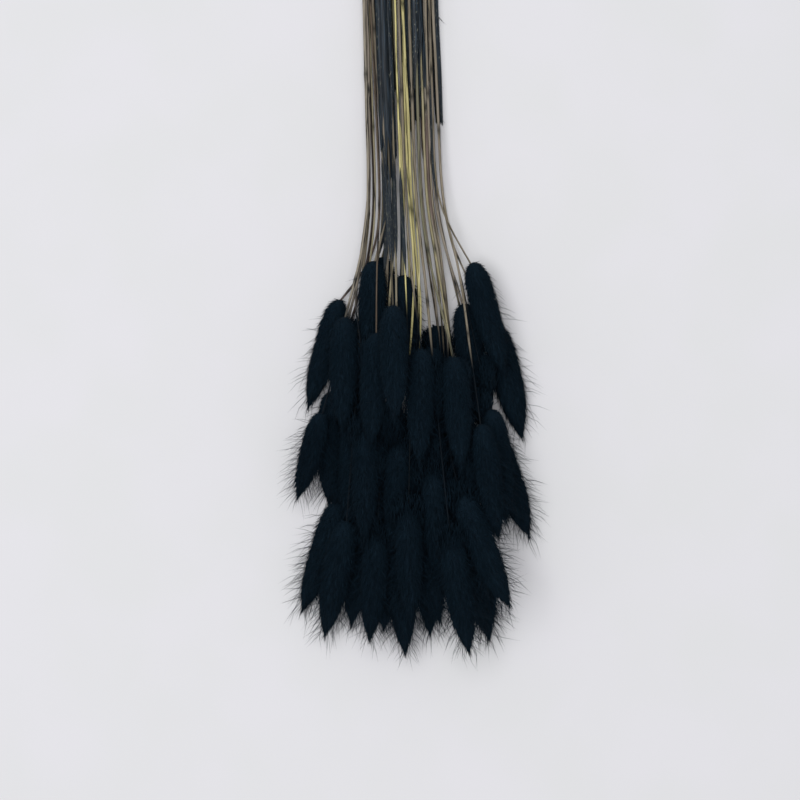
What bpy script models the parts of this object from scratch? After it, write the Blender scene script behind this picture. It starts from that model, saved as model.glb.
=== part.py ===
"""A tied bunch of dried bunny tail grass, dyed black, laid down on a flat surface.

Units are metres and +Z is up. The flower heads point along -Y and the cut ends along +Y. Each tail is a
thin stem with one soft ovoid head, covered in tufts of hair. Twine holds the stems together, and the heads
lie in three tiers along the bunch and three layers deep, settled against each other.

A tail's path is kept as its x and z at a row of planes across the bunch, each with one value of y. The
paths start from where the heads are wanted and are then settled: whatever touches is pushed apart, and
everything sinks towards the surface.
"""

import math
from typing import NamedTuple

import bmesh
import bpy
import numpy as np
from mathutils import Matrix, Vector

MM = 0.001

# The bunch along Y
CUT_END_Y = 230 * MM
CUT_UNEVEN = 9 * MM  # the cut ends aren't level
TIE_Y = 124 * MM
FAN_Y = -10 * MM  # from the tie down to here the stems run nearly side by side
NECK_Y = -36 * MM  # and down to here they open only a little
PLANE_STEP = 5 * MM

# The bundle of stems
BUNDLE_X = -8.9 * MM  # the bundle is a little left of the heads' middle
BUNDLE_WIDTH = 36.5 * MM
FAN_X = -4 * MM
FAN_SPREAD = 0.99  # how much wider the bundle is where the stems start to fan out
NECK_X = -2 * MM
NECK_SPREAD = 1.3
CUT_END_SPREAD = 1.1
LANE_HEIGHT = 2.4 * MM
GROUP = 3  # stems that are squeezed into one piece under the tie

# The stems
STEM_R = 0.6 * MM
SHEATH_R = 1.45 * MM
SHEATH_LIP = 1.5 * MM  # a sheath's lower edge narrows to the stem over this length
SHEATH_END_Y = (-15 * MM, 80 * MM)  # the sheaths end somewhere in this range
STEM_TO_HEAD = 0.3 * MM
NECK_ROOM = 12 * MM  # a head nearer to the neck than this has no bend there
STEM_BEVEL = 0  # gives four sides
SHEATH_BEVEL = 1  # gives six sides
WELD = 0.01 * MM
STRAIGHT = 0.28 * MM  # a stem gets a ring only where it strays this far from a straight run

# The heads
HEAD_R = 7.2 * MM  # out to the ends of the tufts, on a head of the usual length
HEAD_USUAL = 53 * MM
HEAD_VARIES = 0.06
HEAD_POWERS = (0.64, 0.58)  # these set where a head is widest and how blunt its two ends are
HEAD_DETAIL = 2
VALLEY = 0.77  # the surface between the tufts, as a share of their reach
TUFT_LEAN = 3.2 * MM  # how far a tuft's end leans towards the head's tip
TIP_CROWN = 0.17  # the last tufts stand round the tip at this share of the largest radius
HEAD_PAST = 0.2  # a head's wanted line runs on past its tip by this share of its length
HEAD_SQUASH = 0.72  # a head's axis is this share of its radius above what it rests on

# The twine
TWINE_R = 0.9 * MM
TWINE_BEVEL = 1
TWINE_TURNS = 3
TWINE_STEPS = 16  # in each turn
TWINE_GAP = 0.3 * MM  # between its turns
TWINE_CLEAR = 0.25 * MM  # from the stems
KNOT_HALF = Vector((3.4, 2.6, 1.8)) * MM
TWINE_TAIL = 20 * MM
TWINE_TAIL_TURN = math.radians(28)  # each loose end from the bunch's own direction
TWINE_TAIL_SHARES = (0.05, 0.5, 1)  # where each loose end has a ring

# Settling
CLEAR = 0.55 * MM  # between neighbouring tails
LAYER_HEIGHT = 12.5 * MM
TOP_LAYER = 2
OVER_HEADS = 7 * MM  # how far above its own layer a stem starts, to pass over the heads before it
UNDER_HEADS = 7.5 * MM  # and how far below it in the top layer, where it passes under them
ROUNDS = 900
FREE_SHARE = 0.6  # for this share of the rounds the tails still sink and drift
SINK = 0.06 * MM
DRAW = 0.2  # the pull back to where the heads are wanted
STIFF = 0.8
SOFT_BENDS = 12  # how many times the bends that the stems grew with are eased
HEAD_BENDS = 0.6  # the share of a head's curve that each round leaves
MOST_PUSH = 1.2 * MM  # in one round
PUSH_SHARES = (0.4, 1.5)  # sideways and upwards, because a head that is in the way mostly rides up
FUSE = 0.6  # how near neighbours in a group come under the tie, as a share of their radii's sum
SEED = 34


class Head(NamedTuple):
    """One head seen from above, in millimetres, and its layer, from 0 on the surface to 2 on top."""

    base_x: float
    base_y: float
    tip_x: float
    tip_y: float
    layer: int


# Each tier's heads, from left to right.
TIERS = {
    "upper": (
        Head(-36.5, -55, -52, -105.5, 0),
        Head(-33.5, -64, -35, -117.5, 2),
        Head(-25, -65, -28, -117.5, 0),
        Head(-21, -36, -24.5, -89, 1),
        Head(-18.5, -72, -21.5, -125, 2),
        Head(-16.5, -33.5, -15.5, -86, 0),
        Head(-11, -58.5, -10, -111.5, 2),
        Head(-8, -43, -2.5, -97.5, 1),
        Head(4, -80, 3, -133.5, 2),
        Head(8.5, -79, 12, -131, 0),
        Head(13.5, -68, 14.5, -121, 0),
        Head(22, -84, 27.5, -136, 2),
        Head(25, -57, 31.5, -110, 1),
        Head(29, -36.5, 44, -89, 2),
        Head(40, -67.5, 53.5, -121, 0),
    ),
    "middle": (
        Head(-44.5, -112, -56.5, -150.5, 0),
        Head(-39.5, -101, -41, -154, 0),
        Head(-31.5, -112.5, -33, -165, 1),
        Head(-22.5, -120, -25.5, -172.5, 2),
        Head(-14.5, -117.5, -16.5, -170, 1),
        Head(-6.5, -125, -8, -177.5, 2),
        Head(0, -120, -0.5, -172.5, 0),
        Head(10.5, -141.5, 13.5, -195, 2),
        Head(16.5, -115, 21, -167.5, 0),
        Head(22, -106.5, 26.5, -159, 2),
        Head(21.5, -139, 25.5, -191.5, 1),
        Head(30, -117.5, 35.5, -170, 2),
        Head(35.5, -110, 43.5, -162.5, 1),
        Head(37, -117.5, 56.5, -170.5, 0),
    ),
    "lower": (
        Head(-36.5, -156, -54.5, -208, 0),
        Head(-33.5, -166, -44, -220, 1),
        Head(-25.5, -162.5, -31.5, -215, 1),
        Head(-16, -173, -21, -221.5, 2),
        Head(-10.5, -165, -13.5, -217.5, 0),
        Head(-6, -175.5, -5, -229, 1),
        Head(-1.5, -159, -1, -212.5, 2),
        Head(4, -160, 8.5, -213, 1),
        Head(5, -167.5, 8.5, -220, 0),
        Head(17, -173, 26, -227.5, 2),
        Head(23.5, -165, 32.5, -216, 1),
        Head(31, -169.5, 37, -222.5, 0),
        Head(22, -152, 44.5, -204, 2),
    ),
}


class Finish(NamedTuple):
    """A surface's linear colour, roughness and metallic value."""

    colour: tuple
    roughness: float
    metallic: float


BLACK, STRAW, BROWN = "black", "straw", "brown"
FINISHES = {
    "head": Finish((0.0035, 0.0065, 0.011), 0.9, 0),
    BLACK: Finish((0.009, 0.011, 0.014), 0.65, 0),
    STRAW: Finish((0.49, 0.45, 0.21), 0.55, 0),
    BROWN: Finish((0.16, 0.115, 0.085), 0.6, 0),
    "twine": Finish((0.43, 0.29, 0.14), 0.85, 0),
}

# The groups' colours, from left to right in each layer. A black group's stems are in dyed leaf sheaths.
GROUP_COLOURS = (
    (BROWN, BLACK, STRAW, BROWN, BLACK),
    (STRAW, STRAW, BLACK, BROWN),
    (BROWN, BLACK, STRAW, BLACK, STRAW),
)


def head_width(share):
    """A head's radius at this share of its length from the base, as a share of its largest radius."""
    skew, blunt = HEAD_POWERS
    return np.sin(np.pi * np.clip(share, 0, 1) ** skew) ** blunt


def smoothed(rows, times, where):
    """The rows with their bends eased: each inner value that where picks moves to its neighbours' mean."""
    rows = rows.copy()
    for _ in range(times):
        rows[:, 1:-1] += where * ((rows[:, :-2] + rows[:, 2:]) / 2 - rows[:, 1:-1]) / 2
    return rows


def tie_half():
    """Half the length of the bundle that the twine covers."""
    return TWINE_TURNS * (2 * TWINE_R + TWINE_GAP) / 2


class Pile:
    """The paths of all the tails, as arrays over tail, plane and (x, z), and the steps that settle them."""

    def __init__(self, heads, rng):
        self.heads = np.array(heads) * [MM, MM, MM, MM, 1]
        self.base_y, self.tip_y = self.heads[:, 1], self.heads[:, 3]
        self.layer = self.heads[:, 4].astype(int)
        self.count = len(heads)
        self.planes = np.arange(CUT_END_Y, self.tip_y.min() - PLANE_STEP, -PLANE_STEP)
        self.length = np.hypot(self.heads[:, 0] - self.heads[:, 2], self.base_y - self.tip_y)
        varied = rng.uniform(1 - HEAD_VARIES, 1 + HEAD_VARIES, self.count)
        self.head_r = HEAD_R * self.length / HEAD_USUAL * varied
        self.cut_end = CUT_END_Y - rng.uniform(0, CUT_UNEVEN, self.count)
        self.rank_tails()
        self.set_sheaths(rng)
        self.set_thickness()
        self.path = np.array([self.wanted_path(tail) for tail in range(self.count)])
        self.set_contacts()
        self.set_floor()

    def rank_tails(self):
        """Each tail's place in its layer of the bundle, from left to right, and its group and colour."""
        order = sorted(range(self.count), key=lambda tail: (self.layer[tail], self.heads[tail, 0]))
        self.rank = np.empty(self.count, int)
        self.rank[order] = np.arange(self.count)
        self.in_layer = np.bincount(self.layer)
        first = np.cumsum(self.in_layer) - self.in_layer
        self.lane = self.rank - first[self.layer]
        self.group = self.rank // GROUP
        self.colours = [colour for layer in GROUP_COLOURS for colour in layer]

    def set_sheaths(self, rng):
        """Where each black stem's leaf sheath ends. It covers the stem from there to the cut end."""
        ends = rng.uniform(*SHEATH_END_Y, self.count)
        ends = self.planes[np.abs(self.planes[None] - ends[:, None]).argmin(1)]
        black = np.array([self.colours[group] == BLACK for group in self.group])
        self.sheath_end = np.where(black, ends, np.inf)

    def set_thickness(self):
        """The radius of every tail at every plane, and where it has a head."""
        base, tip = self.base_y[:, None], self.tip_y[:, None]
        share = (base - self.planes) / (base - tip)
        half_step = PLANE_STEP / 2 / (base - tip)
        widest = np.max([head_width(share + step * half_step) for step in (-1, 0, 1)], axis=0)
        slanted = self.head_r[:, None] * self.length[:, None] / (base - tip)
        stem = np.where(self.planes >= self.sheath_end[:, None], SHEATH_R, STEM_R)
        up_to_tip = share < 1 + PLANE_STEP / (base - tip)
        self.is_head = (share >= 0) & up_to_tip
        self.radius = np.maximum(slanted * widest, stem)
        self.live = (self.planes < self.cut_end[:, None] + PLANE_STEP) & up_to_tip

    def wanted_path(self, tail):
        """Where a tail would lie if none were in its way."""
        base_x, base_y, tip_x, tip_y, _ = self.heads[tail]
        layer = self.layer[tail]
        lane_x = (self.lane[tail] / (self.in_layer[layer] - 1) - 0.5) * BUNDLE_WIDTH
        lane_z = 2 * TWINE_R + SHEATH_R + LANE_HEIGHT * layer
        head_z = HEAD_R + LAYER_HEIGHT * layer
        pass_z = head_z - UNDER_HEADS if layer == TOP_LAYER else head_z + OVER_HEADS
        fan_x = FAN_X + lane_x * FAN_SPREAD
        neck_x = NECK_X + lane_x * NECK_SPREAD
        past_x = tip_x + HEAD_PAST * (tip_x - base_x)
        past_y = tip_y + HEAD_PAST * (tip_y - base_y)
        route = [
            (CUT_END_Y, BUNDLE_X + lane_x * CUT_END_SPREAD, lane_z),
            (TIE_Y, BUNDLE_X + lane_x, lane_z),
            (FAN_Y, fan_x, lane_z),
            (NECK_Y, neck_x, (lane_z + pass_z) / 2),
            (base_y, base_x, head_z),
            (past_y, past_x, head_z),
        ]
        if base_y > NECK_Y - NECK_ROOM:
            del route[3]
        if base_y < NECK_Y - HEAD_USUAL:
            over_y = (NECK_Y + base_y) / 2
            over_x = (neck_x + base_x) / 2
            route.insert(4, (over_y, over_x, pass_z))
        y, x, z = np.array(route).T
        return np.stack([np.interp(-self.planes, -y, x), np.interp(-self.planes, -y, z)], axis=1)

    def set_contacts(self):
        """Which tails may touch at each plane, how near they may come, and how a push is shared."""
        other = ~np.eye(self.count, dtype=bool)
        mates = (self.group[:, None] == self.group[None]) & other
        next_to = mates & (np.abs(self.rank[:, None] - self.rank[None]) == 1)
        both = self.live[:, None] & self.live[None]
        reach = self.radius[:, None] + self.radius[None]
        self.at_tie = np.abs(self.planes - TIE_Y) <= tie_half() + PLANE_STEP
        self.fused = next_to[:, :, None] & self.at_tie
        self.apart = other[:, :, None] & both & ~(mates[:, :, None] & self.at_tie)
        self.need = np.where(self.fused, FUSE * reach, reach + CLEAR)
        thin = 1 / self.radius
        self.share = thin[:, None] / (thin[:, None] + thin[None])
        self.inner = self.live.copy()
        self.inner[:, [0, -1]] = False
        self.inner[:, 1:] &= self.live[:, :-1]
        self.inner[:, :-1] &= self.live[:, 1:]

    def set_floor(self):
        """How low each tail may lie at each plane, and how each head keeps its shape."""
        floor = np.where(self.is_head, HEAD_SQUASH * self.radius, self.radius)
        on_twine = self.radius + 2 * TWINE_R + TWINE_CLEAR
        self.floor = np.where(self.at_tie, on_twine, floor)
        self.bends = [self.gentle_bend(tail) for tail in range(self.count)]

    def gentle_bend(self, tail):
        """The planes of a tail's head, and the matrix that turns its path there into a gentle arc."""
        planes = np.flatnonzero(self.is_head[tail])
        y = (self.planes[planes] - self.planes[planes].mean()) / HEAD_USUAL
        line = np.stack([np.ones_like(y), y], axis=1)
        arc = np.stack([np.ones_like(y), y, y**2], axis=1)
        to_line = line @ np.linalg.pinv(line)
        to_arc = arc @ np.linalg.pinv(arc)
        return planes, to_line + HEAD_BENDS * (to_arc - to_line)

    def pushes(self):
        """How far the tails that are too near push each one at each plane."""
        way = self.path[:, None] - self.path[None]
        distance = np.maximum(np.sqrt((way**2).sum(-1)), WELD)
        near = np.where(self.apart, np.clip(self.need - distance, 0, None), 0)
        near = np.where(self.fused, self.need - distance, near)
        return (way / distance[..., None] * (near * self.share)[..., None]).sum(1)

    def settle(self):
        """Lets the tails sink and push each other apart."""
        wanted_x = self.path[:, :, 0].copy()
        unstrained = np.zeros_like(self.path)
        unstrained[:, :, 0] = smoothed(wanted_x, SOFT_BENDS, ~self.is_head[:, 1:-1])
        for done in range(ROUNDS):
            free = max(0, 1 - done / (ROUNDS * FREE_SHARE))
            firm = min(1, (1 - done / ROUNDS) / (1 - FREE_SHARE))
            self.path += np.clip(self.pushes() * PUSH_SHARES, -MOST_PUSH, MOST_PUSH)
            self.path[:, :, 0] += DRAW * free * (wanted_x - self.path[:, :, 0])
            self.path[:, :, 1] -= SINK * free
            strain = self.path - unstrained
            middle = np.zeros_like(strain)
            middle[:, 1:-1] = (strain[:, :-2] + strain[:, 2:]) / 2
            self.path[self.inner] += STIFF * firm * (middle - strain)[self.inner]
            for tail, (planes, arc) in enumerate(self.bends):
                self.path[tail, planes] = arc @ self.path[tail, planes]
            self.path[:, :, 1] = np.maximum(self.path[:, :, 1], self.floor)

    def at(self, tail, y):
        """The point of a tail's path at this y."""
        x = np.interp(-y, -self.planes, self.path[tail, :, 0])
        z = np.interp(-y, -self.planes, self.path[tail, :, 1])
        return Vector((x, y, z))


def clear_scene():
    """Removes every object that the scene starts with."""
    for obj in list(bpy.data.objects):
        bpy.data.objects.remove(obj, do_unlink=True)


def make_materials():
    """One Principled material for each finish."""
    materials = {}
    for name, finish in FINISHES.items():
        material = bpy.data.materials.new(name)
        material.use_nodes = True
        shader = material.node_tree.nodes["Principled BSDF"]
        shader.inputs["Base Color"].default_value = (*finish.colour, 1)
        shader.inputs["Roughness"].default_value = finish.roughness
        shader.inputs["Metallic"].default_value = finish.metallic
        materials[name] = material
    return materials


def new_object(name, mesh, collection, material=None):
    """An object of this mesh in the collection, with the material if there is one."""
    obj = bpy.data.objects.new(name, mesh)
    collection.objects.link(obj)
    if material:
        mesh.materials.clear()
        mesh.materials.append(material)
    return obj


def tube(name, points, radii, bevel, collection):
    """A closed tube through the points, as a mesh object."""
    curve = bpy.data.curves.new(name, "CURVE")
    curve.dimensions = "3D"
    curve.bevel_depth = 1
    curve.bevel_resolution = bevel
    curve.use_fill_caps = True
    spline = curve.splines.new("POLY")
    spline.points.add(len(points) - 1)
    for target, point, radius in zip(spline.points, points, radii):
        target.co = (*point, 1)
        target.radius = radius
    guide = bpy.data.objects.new(name, curve)
    collection.objects.link(guide)
    mesh = bpy.data.meshes.new_from_object(guide.evaluated_get(bpy.context.evaluated_depsgraph_get()))
    bpy.data.objects.remove(guide)
    shape = bmesh.new()
    shape.from_mesh(mesh)
    bmesh.ops.remove_doubles(shape, verts=shape.verts, dist=WELD)
    bmesh.ops.recalc_face_normals(shape, faces=shape.faces)
    shape.to_mesh(mesh)
    shape.free()
    return new_object(name, mesh, collection)


def fuse(name, pieces, loose, collection, material):
    """One body from overlapping pieces, by a Boolean union of the first with the rest."""
    first, *rest = pieces
    joined = bpy.data.collections.new(name + "_joined")
    loose.children.link(joined)
    for piece in rest:
        loose.objects.unlink(piece)
        joined.objects.link(piece)
    union = first.modifiers.new("union", "BOOLEAN")
    union.operation = "UNION"
    union.operand_type = "COLLECTION"
    union.collection = joined
    mesh = bpy.data.meshes.new_from_object(first.evaluated_get(bpy.context.evaluated_depsgraph_get()))
    for piece in pieces:
        bpy.data.objects.remove(piece)
    bpy.data.collections.remove(joined)
    return new_object(name, mesh, collection, material)


def build_head(name, pile, tail, collection, material, rng):
    """An ovoid head on its stem's line, its surface raised into tufts that lean towards the tip."""
    base_y, tip_y = pile.base_y[tail], pile.tip_y[tail]
    span = pile.at(tail, tip_y) - pile.at(tail, base_y)
    turn = span.to_track_quat("Z", "Y")
    shape = bmesh.new()
    spin = Matrix.Rotation(rng.uniform(0, math.tau), 4, "Z")
    bmesh.ops.create_icosphere(shape, subdivisions=HEAD_DETAIL, radius=1, matrix=spin)
    tufts = set(bmesh.ops.poke(shape, faces=shape.faces[:])["verts"])
    for vert in shape.verts:
        way = vert.co.normalized()
        along = (1 + way.z) / 2
        reach = VALLEY * float(head_width(along))
        if vert in tufts:
            along += TUFT_LEAN / pile.length[tail]
            reach = max(float(head_width(along)), TIP_CROWN)
        outward = Vector((way.x, way.y, 0)).normalized() * reach * pile.head_r[tail]
        inside = min(along, 1)
        centre = pile.at(tail, base_y + inside * (tip_y - base_y)) + span * (along - inside)
        vert.co = centre + turn @ outward
    flatten_underside(shape)
    mesh = bpy.data.meshes.new(name)
    shape.to_mesh(mesh)
    shape.free()
    return new_object(name, mesh, collection, material)


def flatten_underside(shape):
    """Cuts off what is below the surface, so that a head in the lowest layer rests on a flat spot."""
    if min(vert.co.z for vert in shape.verts) >= 0:
        return
    everything = shape.verts[:] + shape.edges[:] + shape.faces[:]
    bmesh.ops.bisect_plane(shape, geom=everything, plane_co=(0, 0, 0), plane_no=(0, 0, 1), clear_inner=True)
    rim = [edge for edge in shape.edges if edge.is_boundary]
    for vert in {vert for edge in rim for vert in edge.verts}:
        vert.co.z = 0
    bmesh.ops.holes_fill(shape, edges=rim)
    bmesh.ops.recalc_face_normals(shape, faces=shape.faces)


def bends(points):
    """The ends of a run of points and those between where it strays from straight."""
    start, end = points[0], points[-1]
    along = (end - start).normalized()
    strays = [(point - start).cross(along).length for point in points]
    worst = max(range(len(points)), key=strays.__getitem__)
    if strays[worst] < STRAIGHT:
        return [start, end]
    return bends(points[: worst + 1])[:-1] + bends(points[worst:])


def run_between(pile, tail, top, bottom):
    """The points of a tail's path that matter between two heights along the bunch."""
    inside = [y for y in pile.planes if bottom < y < top]
    return bends([pile.at(tail, y) for y in (top, *inside, bottom)])


def build_stem(name, pile, tail, loose):
    """One stem from its cut end to just short of its head, in a wider leaf sheath down to where that ends."""
    cut_end, head_end = pile.cut_end[tail], pile.base_y[tail] + STEM_TO_HEAD
    sheath_end = pile.sheath_end[tail]
    if sheath_end > cut_end:
        points = run_between(pile, tail, cut_end, head_end)
        return tube(name, points, [STEM_R] * len(points), STEM_BEVEL, loose)
    sheath = run_between(pile, tail, cut_end, sheath_end)
    stem = run_between(pile, tail, sheath_end - SHEATH_LIP, head_end)
    radii = [SHEATH_R] * len(sheath) + [STEM_R] * len(stem)
    return tube(name, sheath + stem, radii, SHEATH_BEVEL, loose)


class Twine:
    """The twine wound round the bundle, with its knot and two loose ends on top."""

    def __init__(self, pile):
        inside = np.abs(pile.planes - TIE_Y) <= tie_half() + PLANE_STEP
        self.stems = pile.path[:, inside].reshape(-1, 2)
        self.radii = pile.radius[:, inside].reshape(-1)

    def reach(self, angle):
        """How far the twine's middle line is from the origin of x and z, measured this way."""
        way = np.array([math.cos(angle), math.sin(angle)])
        return float((self.stems @ way + self.radii).max()) + TWINE_CLEAR + TWINE_R

    def corner(self, angle, y):
        """Where the straight lines that touch the bundle at this angle and a step further on meet."""
        step = math.tau / TWINE_STEPS
        here, there = self.reach(angle), self.reach(angle + step)
        x = here * math.sin(angle + step) - there * math.sin(angle)
        z = there * math.cos(angle) - here * math.cos(angle + step)
        return Vector((x / math.sin(step), y, z / math.sin(step)))

    def coil(self):
        """The corners of the turns, from the top of the bundle round to the top again."""
        steps = TWINE_TURNS * TWINE_STEPS
        points = []
        for step in range(steps):
            y = TIE_Y + tie_half() - tie_half() * 2 * step / steps
            points.append(self.corner(math.pi / 2 + math.tau * step / TWINE_STEPS, y))
        return points

    def build(self, name, loose, collection, material):
        """The coil, the knot and the two loose ends, joined."""
        coil = self.coil()
        knot = Vector((BUNDLE_X, TIE_Y, self.reach(math.pi / 2) + TWINE_R + KNOT_HALF.z / 2))
        line = [knot, *coil, knot]
        pieces = [tube(name + "_coil", line, [TWINE_R] * len(line), TWINE_BEVEL, loose)]
        lump = bmesh.new()
        bmesh.ops.create_icosphere(lump, subdivisions=2, radius=1)
        bmesh.ops.scale(lump, vec=KNOT_HALF, verts=lump.verts)
        bmesh.ops.translate(lump, vec=knot, verts=lump.verts)
        mesh = bpy.data.meshes.new(name + "_knot")
        lump.to_mesh(mesh)
        lump.free()
        pieces.append(new_object(name + "_knot", mesh, loose))
        for side in (-1, 1):
            way = Vector((math.sin(TWINE_TAIL_TURN) * side, math.cos(TWINE_TAIL_TURN), 0))
            end = [knot + way * TWINE_TAIL * share for share in TWINE_TAIL_SHARES]
            end[-1].z += TWINE_R
            pieces.append(tube(f"{name}_end_{side}", end, [TWINE_R] * len(end), TWINE_BEVEL, loose))
        return fuse(name, pieces, loose, collection, material)


def centre_on_origin(objects):
    """Moves everything so that the origin is under the middle of the whole bunch's box."""
    corners = np.array([vert.co[:] for obj in objects for vert in obj.data.vertices])
    middle = (corners.min(0) + corners.max(0)) / 2
    for obj in objects:
        obj.data.transform(Matrix.Translation((-middle[0], -middle[1], 0)))


def main():
    """Builds the bunch: a head for each tail, the stems in groups, and the twine."""
    clear_scene()
    rng = np.random.default_rng(SEED)
    bunch = bpy.data.collections.new("dried_bunny_tail_grass")
    loose = bpy.data.collections.new("loose_pieces")
    for collection in (bunch, loose):
        bpy.context.scene.collection.children.link(collection)
    materials = make_materials()

    pile = Pile([head for tier in TIERS.values() for head in tier], rng)
    pile.settle()

    objects = []
    names = [f"head_{tier}_{number + 1:02d}" for tier, heads in TIERS.items() for number in range(len(heads))]
    for tail, name in enumerate(names):
        objects.append(build_head(name, pile, tail, bunch, materials["head"], rng))
    for group, colour in enumerate(pile.colours):
        name = f"stems_{colour}_{pile.colours[:group].count(colour) + 1}"
        tails = np.flatnonzero(pile.group == group)
        stems = [build_stem(f"{name}_{number}", pile, tail, loose) for number, tail in enumerate(tails)]
        objects.append(fuse(name, stems, loose, bunch, materials[colour]))
    objects.append(Twine(pile).build("twine", loose, bunch, materials["twine"]))
    bpy.data.collections.remove(loose)
    centre_on_origin(objects)


main()
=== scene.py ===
"""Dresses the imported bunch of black-dyed bunny tail grass in its hair, leaf sheaths, ribbed stems and twine.

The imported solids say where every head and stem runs. Each piece made here follows one of them: a head gets a
core under a coat of hair, a stem its fine culm, a dyed group its rolled leaf sheaths, and the tie its plies.
"""

import itertools
import logging
import math
from dataclasses import dataclass, field
from enum import Enum
from typing import Any

import bmesh
import bpy
import numpy as np
from mathutils import Matrix, Vector


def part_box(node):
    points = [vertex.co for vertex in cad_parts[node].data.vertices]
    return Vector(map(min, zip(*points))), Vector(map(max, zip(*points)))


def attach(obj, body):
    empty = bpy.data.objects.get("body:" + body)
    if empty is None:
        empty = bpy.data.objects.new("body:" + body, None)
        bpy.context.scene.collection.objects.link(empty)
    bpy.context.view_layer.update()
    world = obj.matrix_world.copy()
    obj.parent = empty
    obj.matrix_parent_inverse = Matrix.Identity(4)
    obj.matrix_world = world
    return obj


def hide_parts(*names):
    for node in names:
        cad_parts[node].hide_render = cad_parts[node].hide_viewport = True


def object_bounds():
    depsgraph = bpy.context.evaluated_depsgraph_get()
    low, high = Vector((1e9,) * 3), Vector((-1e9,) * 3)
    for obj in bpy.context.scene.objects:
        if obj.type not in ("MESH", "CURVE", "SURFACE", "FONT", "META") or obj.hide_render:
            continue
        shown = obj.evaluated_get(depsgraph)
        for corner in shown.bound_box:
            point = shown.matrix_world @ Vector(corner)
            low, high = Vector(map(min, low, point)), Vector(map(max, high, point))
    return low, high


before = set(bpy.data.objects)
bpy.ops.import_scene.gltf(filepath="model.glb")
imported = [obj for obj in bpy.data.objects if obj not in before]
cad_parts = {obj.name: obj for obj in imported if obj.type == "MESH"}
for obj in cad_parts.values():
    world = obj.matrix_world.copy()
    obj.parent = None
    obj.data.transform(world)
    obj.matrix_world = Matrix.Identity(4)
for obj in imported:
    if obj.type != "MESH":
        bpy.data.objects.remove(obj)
CAD_BOX = np.array([tuple(corner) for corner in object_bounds()])

log = logging.getLogger("bunch")

MM = 0.001
BODY = "root"
SEED = 20
SAME_PLACE = 0.002 * MM  # corners of the solids' triangles that are this close are one
FLOOR_GAP = 0.4 * MM  # what would reach lower than this is laid along the floor instead
FLOOR_EASE = 5 * MM  # how gradually it is pressed into that gap
HAIR_REACH = 11 * MM
HAIR_BOX = CAD_BOX + np.array([[-HAIR_REACH], [HAIR_REACH]])  # no hair reaches out of this
TIE_Y = 124.6 * MM  # the middle of the tie along the bunch
GOLDEN_ANGLE = math.pi * (3 - math.sqrt(5))

Array = np.ndarray
Shape = bmesh.types.BMesh


def linear(hex_colour: str) -> tuple[float, float, float, float]:
    """Turns an sRGB colour into the linear one that a shader takes.

    Args:
        hex_colour: the colour as six hex digits, such as 0b141c.

    Returns:
        Red, green, blue and an alpha of 1.
    """
    shares = [int(hex_colour[place : place + 2], 16) / 255 for place in (0, 2, 4)]
    red, green, blue = [s / 12.92 if s <= 0.04045 else ((s + 0.055) / 1.055) ** 2.4 for s in shares]
    return red, green, blue, 1.0


def add_node(
    tree: bpy.types.NodeTree, kind: str, inputs: dict[str | int, Any] | None = None, **settings: Any
) -> bpy.types.Node:
    """Adds one node to a material.

    Args:
        tree: the material's nodes.
        kind: the node's type, without its ShaderNode.
        inputs: for an input's name or place, the value to set or the output to link from.
        settings: the node's own settings, such as operation.

    Returns:
        The new node.
    """
    node = tree.nodes.new("ShaderNode" + kind)
    for name, value in settings.items():
        setattr(node, name, value)
    for name, value in (inputs or {}).items():
        if isinstance(value, bpy.types.NodeSocket):
            tree.links.new(value, node.inputs[name])
        else:
            node.inputs[name].default_value = value
    return node


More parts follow.
